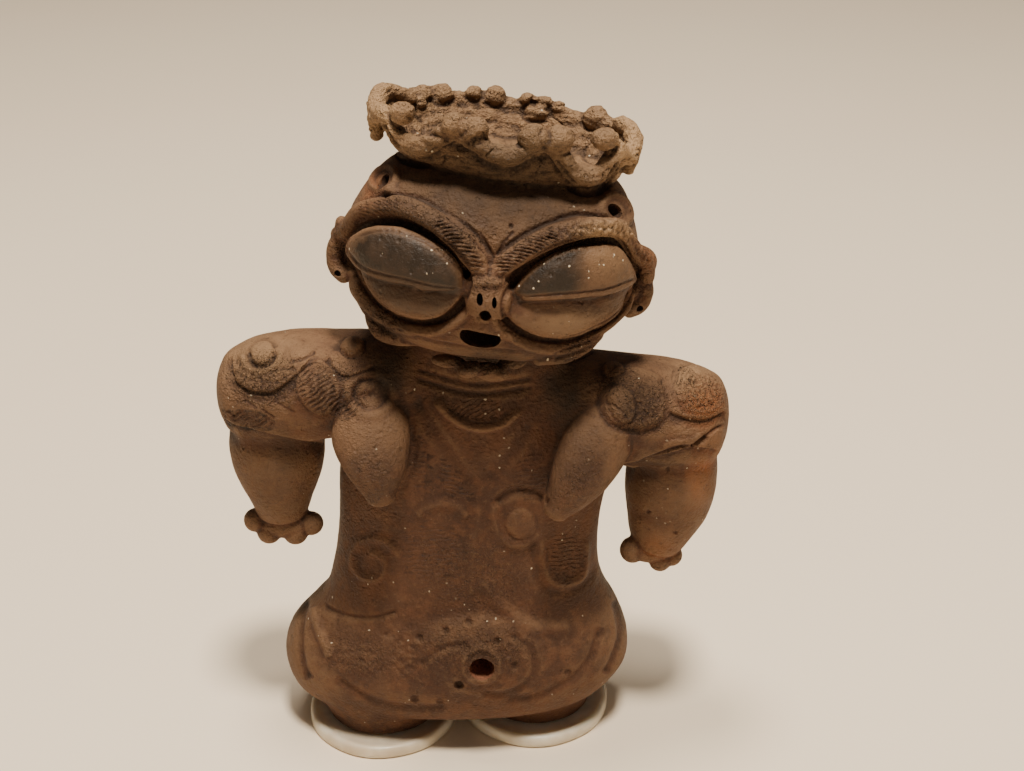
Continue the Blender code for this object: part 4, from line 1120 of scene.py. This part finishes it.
def hollows(mesh, points, normals, rounds):
    """How far each point lies under the even skin that its neighbours would make, in units."""
    count = len(points)
    ends = np.empty(len(mesh.edges) * 2, dtype=np.int32)
    mesh.edges.foreach_get("vertices", ends)
    one, other = ends.reshape(-1, 2).T
    around = np.maximum(np.bincount(one, minlength=count) + np.bincount(other, minlength=count), 1)
    even = points.copy()
    for _ in range(rounds):
        for axis in range(3):
            column = even[:, axis].copy()
            total = np.bincount(one, column[other], count) + np.bincount(other, column[one], count)
            even[:, axis] = total / around
    return ((even - points) * normals).sum(axis=1)


def paint_eyes(surface, layers):
    """The eyes are polished, and each upper lid is dark and flecked; the left one only near the nose."""
    for (outline, slit), (bound, rim, low) in zip(EYES, EYE_DARKNESS):
        which, depth = eye_depth(surface, outline)
        lift_to(layers["smooth"], which, soft(depth / 2))
        other, off, side, travel = offset_from(surface, through(slit), 20)
        above = np.zeros(len(surface.points))
        above[other] = soft(off * side / 1.2) * (travel > 0.02)
        dark = 1.15 * soft((depth - rim) / 2) * above[which] * soft((bound - surface.u[which]) / 9)
        lift_to(layers["dark"], which, dark)
        lift_to(layers["dark"], which, low * soft(depth / 3))
        lift_to(layers["flecked"], which, soft(depth / 2) * above[which])


# For each eye: how far to the left its upper lid is dark, how far in that starts, and how dark the
# whole eye is at least
EYE_DARKNESS = ((90, 2, 0.75), (50, 0.4, 0.2))


def in_navel(points):
    """Which points lie on the wall of the navel, well below its rim."""
    centre, radii, aim, depth = next(hole[1:5] for hole in HOLES if hole[0] == "navel")
    turn = Vector(aim).to_track_quat("Z", "Y").to_matrix()
    local = (points - np.array(centre)) @ np.array(turn)
    reach, below_rim, fade = 1.03, 0.8, 1.5
    on_wall = np.linalg.norm(local / np.array((*radii, depth)), axis=1) < reach
    rim = local[on_wall, 2].max()
    return on_wall * soft((rim - below_rim - local[:, 2]) / fade)


# How much of the dark the tan hides, and the depth of a stroke that is coloured in full
TAN_OVER_DARK = 0.85
FULL_STROKE = 0.6
# Where the crown's colours begin, and where its two tan ends do
CROWN_LEVEL = 229
CROWN_RIGHT_END = -13
CROWN_LEFT_END = 52


def paint_layers(mesh):
    """Keeps the layers that the clay's material reads, as attributes of the mesh's points."""
    surface = Surface(mesh)
    draw_front(surface)
    draw_fine(surface)
    draw_back(surface)
    # How far the fine relief lifts or presses each point; the material paints shade into the pressed lines
    layers = {"pressed": np.clip(0.5 + surface.lift * 0.25, 0, 1)}
    surface.look(FRONT)
    count = len(surface.points)
    # How far each point lies in a hollow, over a wide and a narrow reach: the material paints shade into
    # hollows and highlights onto ridges from these
    for name, rounds, share in (("hollow", 14, 0.5), ("nick", 3, 1.5)):
        layers[name] = np.clip(0.5 + share * hollows(mesh, surface.points, surface.normals, rounds), 0, 1)
    patch_lists = {"dark": DARK, "tan": TAN, "orange": ORANGE, "coarse": COARSE}
    for name in (*patch_lists, "smooth", "flecked", "marks", "way"):
        layers[name] = np.zeros(count)
        for centre, radii, tilt, amount in patch_lists.get(name, ()):
            spread(surface, layers[name], centre, radii, amount, tilt)
    layers["dark"] *= 1 - TAN_OVER_DARK * layers["tan"]
    paint_eyes(surface, layers)
    for depth, (which, amount, phase) in all_strokes(surface):
        amount = amount * min(1, depth / FULL_STROKE)
        stronger = amount > layers["marks"][which]
        layers["marks"][which[stronger]] = amount[stronger]
        layers["way"][which[stronger]] = phase[stronger]
    x, y, z = surface.points.T
    crown = soft(over_slope(x, z, CROWN_LEVEL) / 8)
    ends = np.maximum(soft((x - CROWN_LEFT_END) / 7), soft((CROWN_RIGHT_END - x) / 6)) * crown
    layers["dark"] = np.maximum(layers["dark"], 0.15 * crown * (1 - ends) * soft((12 - y) / 10))
    layers["tan"] = np.maximum(layers["tan"], np.maximum(ends, 0.5 * crown))
    layers["coarse"] = np.maximum(layers["coarse"], 0.25 * crown)
    # How far each point faces up; the material makes these places lighter and tanner
    layers["faces_up"] = soft((surface.normals[:, 2] - 0.1) / 0.8)
    # The painted shade of hollows and nicks, and the painted highlights of ridges, show less on the
    # trunk's front, and more on the crown
    trunk = soft((58 - abs(x - 5)) / 12) * soft((150 - z) / 20) * soft(-y / 8)
    for name in ("nick", "hollow"):
        layers[name] = 0.5 + (layers[name] - 0.5) * (1 - 0.52 * trunk + 0.5 * crown)
    # The navel's inner wall, which the material paints lighter and warmer as painted light
    layers["navel_wall"] = in_navel(surface.points)
    for name, layer in layers.items():
        mesh.attributes.new(name, "FLOAT", "POINT").data.foreach_set("value", layer.astype(np.float32))


# Materials


class Nodes:
    """Adds nodes to a material's tree, and joins them."""

    def __init__(self, name):
        self.material = bpy.data.materials.new(name)
        self.material.use_nodes = True
        self.tree = self.material.node_tree
        self.shader = self.tree.nodes["Principled BSDF"]
        self.place = self.tree.nodes.new("ShaderNodeTexCoord").outputs["Object"]

    def add(self, kind, inputs, **settings):
        made = self.tree.nodes.new("ShaderNode" + kind)
        for name, value in settings.items():
            setattr(made, name, value)
        for name, value in inputs.items():
            self.feed(made.inputs[name], value)
        return made

    def noise(self, scale, detail, roughness=0.55):
        inputs = {"Vector": self.place, "Scale": scale, "Detail": detail, "Roughness": roughness}
        return self.add("TexNoise", inputs).outputs["Fac"]

    def cells(self, scale, bent=0.0):
        """Cells; bent out of shape by a fine noise."""
        place = self.place
        if bent:
            waves = self.add("TexNoise", {"Vector": place, "Scale": scale * 1.3, "Detail": 1.0})
            inputs = {0: waves.outputs["Color"], 1: (bent, bent, bent), 2: place}
            place = self.add("VectorMath", inputs, operation="MULTIPLY_ADD").outputs[0]
        return self.add("TexVoronoi", {"Vector": place, "Scale": scale})

    def layer(self, name):
        return self.add("Attribute", {}, attribute_name=name).outputs["Fac"]

    def span(self, value, low, high, start=0.0, end=1.0):
        inputs = {"Value": value, "From Min": low, "From Max": high, "To Min": start, "To Max": end}
        return self.add("MapRange", inputs, interpolation_type="SMOOTHSTEP").outputs[0]

    def feed(self, socket, value):
        if isinstance(value, bpy.types.NodeSocket):
            self.tree.links.new(value, socket)
        else:
            socket.default_value = value

    def calculate(self, operation, first, second):
        made = self.add("Math", {}, operation=operation)
        self.feed(made.inputs[0], first)
        self.feed(made.inputs[1], second)
        return made.outputs[0]

    def times(self, first, second):
        return self.calculate("MULTIPLY", first, second)

    def plus(self, first, second):
        return self.calculate("ADD", first, second)

    def blend(self, share, first, second):
        made = self.add("Mix", {}, data_type="RGBA")
        self.feed(made.inputs[0], share)
        self.feed(made.inputs[6], first)
        self.feed(made.inputs[7], second)
        return made.outputs[2]

    def cover(self, share, paint):
        """Lays a colour over the colours laid so far."""
        self.colour = self.blend(share, self.colour, paint)

    def bump(self, height, distance, strength=1.0, before=None):
        inputs = {"Height": height, "Distance": distance, "Strength": strength}
        if before:
            inputs["Normal"] = before
        return self.add("Bump", inputs).outputs[0]

    def join(self, name, value):
        self.feed(self.shader.inputs[name], value)


BROWN = (0.086, 0.034, 0.015, 1)
DEEP_BROWN = (0.052, 0.019, 0.0085, 1)
WARM_BROWN = (0.118, 0.049, 0.023, 1)
# Painted shade, for grooves, hollows, nicks, cord marks, low specks and the gaps between grains
SHADE_BROWN = (0.022, 0.0085, 0.004, 1)
# Dark clay of the fire's marks, also laid as painted shade
ASH_AND_SHADE = (0.0235, 0.0142, 0.0078, 1)
TAN_CLAY = (0.34, 0.205, 0.104, 1)
ORANGE_CLAY = (0.38, 0.125, 0.034, 1)
# Lighter clay where the skin faces up and in fine specks; with the next, painted highlight and wear on
# ridges and grain tops
DUST_AND_HIGHLIGHT = (0.2, 0.11, 0.055, 1)
PALE_HIGHLIGHT_AND_WEAR = (0.42, 0.262, 0.135, 1)
# Painted light for the navel's inner wall
NAVEL_PAINTED_LIGHT = (0.25, 0.1, 0.052, 1)
GRIT = (0.62, 0.52, 0.38, 1)
CREAM = (0.6, 0.5, 0.37, 1)
CREAM_EDGE = (0.8, 0.72, 0.58, 1)
FLOOR_CREAM = (0.92, 0.78, 0.6, 1)
FLOOR_SHADE = (0.88, 0.74, 0.56, 1)


def clay_material():
    """Unglazed brown fired clay with fire clouds, grit and pits; lighter where it faces up; painted shade
    in hollows and painted highlights on ridges.
    """
    n = Nodes("fired_clay")
    clouds = n.noise(26, 4)
    mottle = n.noise(150, 5, 0.6)
    fine = n.noise(900, 3, 0.6)
    speckle = n.noise(520, 4, 0.7)
    smooth = n.layer("smooth")
    coarse = n.layer("coarse")
    n.colour = n.blend(n.span(clouds, 0.35, 0.68), DEEP_BROWN, BROWN)
    n.cover(n.span(mottle, 0.42, 0.66, 0, 0.75), WARM_BROWN)
    # Lighter where the skin faces up
    n.cover(n.times(n.layer("faces_up"), n.span(mottle, 0.3, 0.7, 0.25, 0.7)), DUST_AND_HIGHLIGHT)
    broken = n.span(n.noise(70, 5, 0.65), 0.3, 0.62, 0.45, 1)
    n.cover(n.times(n.layer("orange"), broken), ORANGE_CLAY)
    n.cover(n.times(n.layer("tan"), broken), TAN_CLAY)
    # Painted shade in the pressed lines
    n.cover(n.span(n.layer("pressed"), 0.46, 0.1, 0, 0.35), SHADE_BROWN)
    # Lighter clay for ridges, grain tops and high specks: painted highlight, and wear
    highlight_and_wear = n.blend(n.layer("tan"), DUST_AND_HIGHLIGHT, PALE_HIGHLIGHT_AND_WEAR)
    hollow = n.layer("hollow")
    # Painted shade in hollows and nicks, and painted highlight on ridges
    n.cover(n.span(hollow, 0.54, 0.9, 0, 0.52), SHADE_BROWN)
    n.cover(n.span(hollow, 0.47, 0.2, 0, 0.28), highlight_and_wear)
    nick = n.layer("nick")
    n.cover(n.span(nick, 0.55, 0.85, 0, 0.45), SHADE_BROWN)
    n.cover(n.span(nick, 0.45, 0.15, 0, 0.4), highlight_and_wear)
    # Painted highlight on the high specks of the coarse bump, and painted shade in its low ones
    flecks = n.times(n.span(speckle, 0.54, 0.7), n.span(coarse, 0, 1, 0.25, 0.6))
    n.cover(flecks, highlight_and_wear)
    shades = n.times(n.span(speckle, 0.46, 0.3), n.span(coarse, 0, 1, 0.35, 0.6))
    n.cover(shades, SHADE_BROWN)
    n.cover(n.span(fine, 0.6, 0.78, 0, 0.3), DUST_AND_HIGHLIGHT)
    worms = n.cells(880, 0.0011).outputs["Distance"]
    grain = n.times(n.span(worms, 0.55, 0.2), coarse)
    gap = n.times(n.span(worms, 0.4, 0.7), coarse)
    # Painted highlight on the grains' tops, and painted shade in the gaps between them
    n.cover(n.times(grain, 0.5), highlight_and_wear)
    n.cover(n.times(gap, 0.35), SHADE_BROWN)
    wave = n.calculate("SINE", n.times(n.layer("way"), 2 * math.pi), 0.0)
    stroke = n.times(n.span(wave, -0.1, 0.8), n.layer("marks"))
    stroke = n.times(stroke, n.span(n.noise(330, 2), 0.4, 0.54, 0.1, 1))
    # Painted shade in the cord marks
    n.cover(n.times(stroke, 0.3), SHADE_BROWN)
    # Dark clay of the fire on the eyes and crown, and painted shade where the dark patches stand for shade
    n.cover(n.times(n.layer("dark"), n.span(mottle, 0.3, 0.7, 0.92, 0.74)), ASH_AND_SHADE)
    # Painted light on the navel's inner wall
    n.cover(n.layer("navel_wall"), NAVEL_PAINTED_LIGHT)
    grit = n.cells(620, 0.0009)
    chance = n.add("SeparateColor", {"Color": grit.outputs["Color"]}).outputs[0]
    chosen = n.span(n.plus(chance, n.times(n.layer("flecked"), 0.11)), 0.975, 1.0)
    grains = n.times(chosen, n.span(grit.outputs["Distance"], 0.3, 0.16))
    n.cover(grains, GRIT)
    n.join("Base Color", n.colour)
    rough = n.plus(n.span(mottle, 0.3, 0.7, 0.62, 0.78), n.times(smooth, -0.16))
    n.join("Roughness", rough)
    n.join("Specular IOR Level", 0.35)
    pits = n.cells(420)
    holes = n.span(n.add("SeparateColor", {"Color": pits.outputs["Color"]}).outputs[1], 0.86, 0.9)
    pitted = n.times(holes, n.span(pits.outputs["Distance"], 0.42, 0.1))
    gloss = n.span(smooth, 0, 1, 1, 0.3)
    bump = n.bump(n.times(fine, gloss), 0.0009)
    bump = n.bump(n.times(speckle, n.plus(n.times(coarse, 1.3), 0.3)), 0.0016, 1, bump)
    bump = n.bump(n.times(pitted, -1.0), 0.0005, 0.8, bump)
    bump = n.bump(grain, 0.001, 1, bump)
    bump = n.bump(n.times(stroke, -1.0), 0.001, 1, bump)
    bump = n.bump(grains, 0.0003, 0.8, bump)
    n.join("Normal", bump)
    return n.material


def ring_material():
    """Cream plastic that lets a little light in."""
    n = Nodes("support_ring")
    clouds = n.noise(60, 3)
    n.join("Base Color", n.blend(n.span(clouds, 0.35, 0.7), CREAM, CREAM_EDGE))
    n.join("Roughness", n.span(n.noise(300, 3), 0.3, 0.7, 0.28, 0.4))
    n.join("Subsurface Weight", 0.55)
    n.join("Subsurface Scale", 0.006)
    n.join("Subsurface Radius", (1, 0.85, 0.6))
    n.join("Normal", n.bump(n.noise(250, 3), 0.0002, 0.5))
    return n.material


def floor_material():
    n = Nodes("floor")
    n.join("Base Color", n.blend(n.span(n.noise(3, 2), 0.3, 0.7, 0, 0.4), FLOOR_CREAM, FLOOR_SHADE))
    n.join("Roughness", 0.7)
    return n.material


# The pieces

# Edges of the figure that turn by more than this many degrees stay sharp
SHARP_ANGLE = 62


def placed(mesh):
    """Moves a mesh from the drawing to its place in metres."""
    shift = placement(0, 0, 0)
    mesh.transform(Matrix.Translation(shift) @ Matrix.Scale(UNIT, 4))
    return mesh


def make_figure():
    figure = shown("figure", fine_skin())
    cutters = [shown(name, mesh) for name, mesh in hole_bodies().items()]
    cutters.append(shown("break", slab_under(BREAK_LEVEL)))
    for cutter in cutters:
        cut(figure, cutter)
    mesh = applied(figure)
    for cutter in cutters:
        bpy.data.objects.remove(cutter)
    paint_layers(mesh)
    for face in mesh.polygons:
        face.use_smooth = True
    mesh.set_sharp_from_angle(angle=math.radians(SHARP_ANGLE))
    figure = shown("dogu_figure", placed(mesh))
    mesh.materials.clear()
    mesh.materials.append(clay_material())
    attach(figure, "root")
    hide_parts("dogu")


def make_ring(name, place, radius, paint):
    """A low moulded ring, slightly dished."""
    middle = placement(*place, 0)
    top = RING_HEIGHT
    hole = RING_HOLE_RADIUS
    section = [(radius - inward, z) for inward, z in RING_SIDE]
    section += [(radius - inward, top - drop) for inward, drop in RING_RIM]
    section += [(hole + outward, top - drop) for outward, drop in RING_LIP]
    section += [(hole, RING_FOOT), (hole + RING_FOOT, 0), (radius - RING_FOOT, 0)]
    sides = 160
    points = []
    for k in range(sides):
        turn = 2 * math.pi * k / sides
        # The outline waves a little, three and seven times round
        wobble = 0.00012 * math.sin(3 * turn + radius) + 0.0001 * math.sin(7 * turn + place[0])
        for r, z in section:
            if r > hole + RING_TRUE:
                r = min(r + wobble - RING_TUCK, radius)
            points.append((middle.x + r * math.cos(turn), middle.y + r * math.sin(turn), z))
    count = len(section)
    faces = []
    for k in range(sides):
        for row in range(count):
            n, up = (k + 1) % sides, (row + 1) % count
            faces.append((k * count + row, n * count + row, n * count + up, k * count + up))
    mesh = bpy.data.meshes.new(name)
    mesh.from_pydata(points, [], faces)
    for face in mesh.polygons:
        face.use_smooth = True
    mesh.materials.append(paint)
    ring = shown(name + "_dressed", mesh)
    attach(ring, "root")
    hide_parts(name)


# A ring's outer side: how far in, and how high; and the chamfer of its underside
RING_SIDE = ((0, 0.0007), (0, 0.002), (0.0001, 0.0034))
RING_FOOT = 0.0008
# The edge of its hole: how far out from the hole, and how far under the ring's top
RING_LIP = ((0.004, 0.0006), (0.001, 0.0004), (0, 0.001))
# Beyond this distance from the hole the ring is a little uneven, and tucked in by so much
RING_TRUE = 0.002
RING_TUCK = 0.0002
# A ring's rounded upper edge: how far in, and how far under its top
RING_RIM = (
    (0.0004, 0.0007), (0.0009, 0.0002), (0.0016, 0), (0.0026, 0.0001), (0.0034, 0.0005), (0.006, 0.0006)
)


def make_rings():
    spacing = (placement(*LEG_PLACES[0], 0) - placement(*LEG_PLACES[1], 0)).length
    radius = (spacing - RING_SPACE) / 2
    paint = ring_material()
    for name, place in zip(("support_ring_right", "support_ring_left"), LEG_PLACES):
        make_ring(name, place, radius, paint)


# The floor, the light and the camera


def make_floor():
    mesh = bpy.data.meshes.new("floor")
    reach = 4
    corners = [(-reach, -reach, 0), (reach, -reach, 0), (reach, reach, 0), (-reach, reach, 0)]
    mesh.from_pydata(corners, [], [(0, 1, 2, 3)])
    mesh.materials.append(floor_material())
    floor = shown("floor", mesh)


def add_light(name, place, target, energy, size, colour):
    data = bpy.data.lights.new(name, "AREA")
    data.energy = energy
    data.shape = "DISK"
    data.size = size
    data.color = colour
    light = shown(name, data)
    light.location = place
    light.rotation_euler = (Vector(target) - Vector(place)).to_track_quat("-Z", "Y").to_euler()


# Each lamp's name, place, aim, power, size and colour
LAMPS = (
    ("key", (0.12, -0.45, 2), (0, 0, 0.12), 54, 0.32, (1, 0.91, 0.78)),
    ("top", (-0.2, 0.1, 2), (0, 0, 0.15), 26, 0.5, (1, 0.91, 0.79)),
    ("fill", (0.5, -1, 0.5), (0, 0, 0.12), 0.5, 0.6, (1, 0.89, 0.76)),
)
# The light that comes from all round
ROOM_COLOUR = (0.95, 0.86, 0.74, 1)
ROOM_STRENGTH = 0.12


def make_light():
    for lamp in LAMPS:
        add_light(*lamp)
    world = bpy.data.worlds.new("room")
    bpy.context.scene.world = world
    world.use_nodes = True
    back = world.node_tree.nodes["Background"]
    back.inputs["Color"].default_value = ROOM_COLOUR
    back.inputs["Strength"].default_value = ROOM_STRENGTH


# The photograph's camera: its place in the drawing, how far down it looks in degrees, and its film
# and lens in millimetres
CAMERA_PLACE = (22, -506, 404)
CAMERA_PITCH = 26.9
CAMERA_FILM = 36
CAMERA_LENS = 54.14


def make_camera():
    data = bpy.data.cameras.new("camera")
    data.sensor_width = CAMERA_FILM
    data.lens = CAMERA_LENS
    data.clip_start = 0.01
    camera = shown("camera", data)
    camera.location = placement(*CAMERA_PLACE)
    camera.rotation_euler = (math.radians(90 - CAMERA_PITCH), 0, 0)
    bpy.context.scene.camera = camera


make_figure()
make_rings()
make_floor()
make_light()
make_camera()
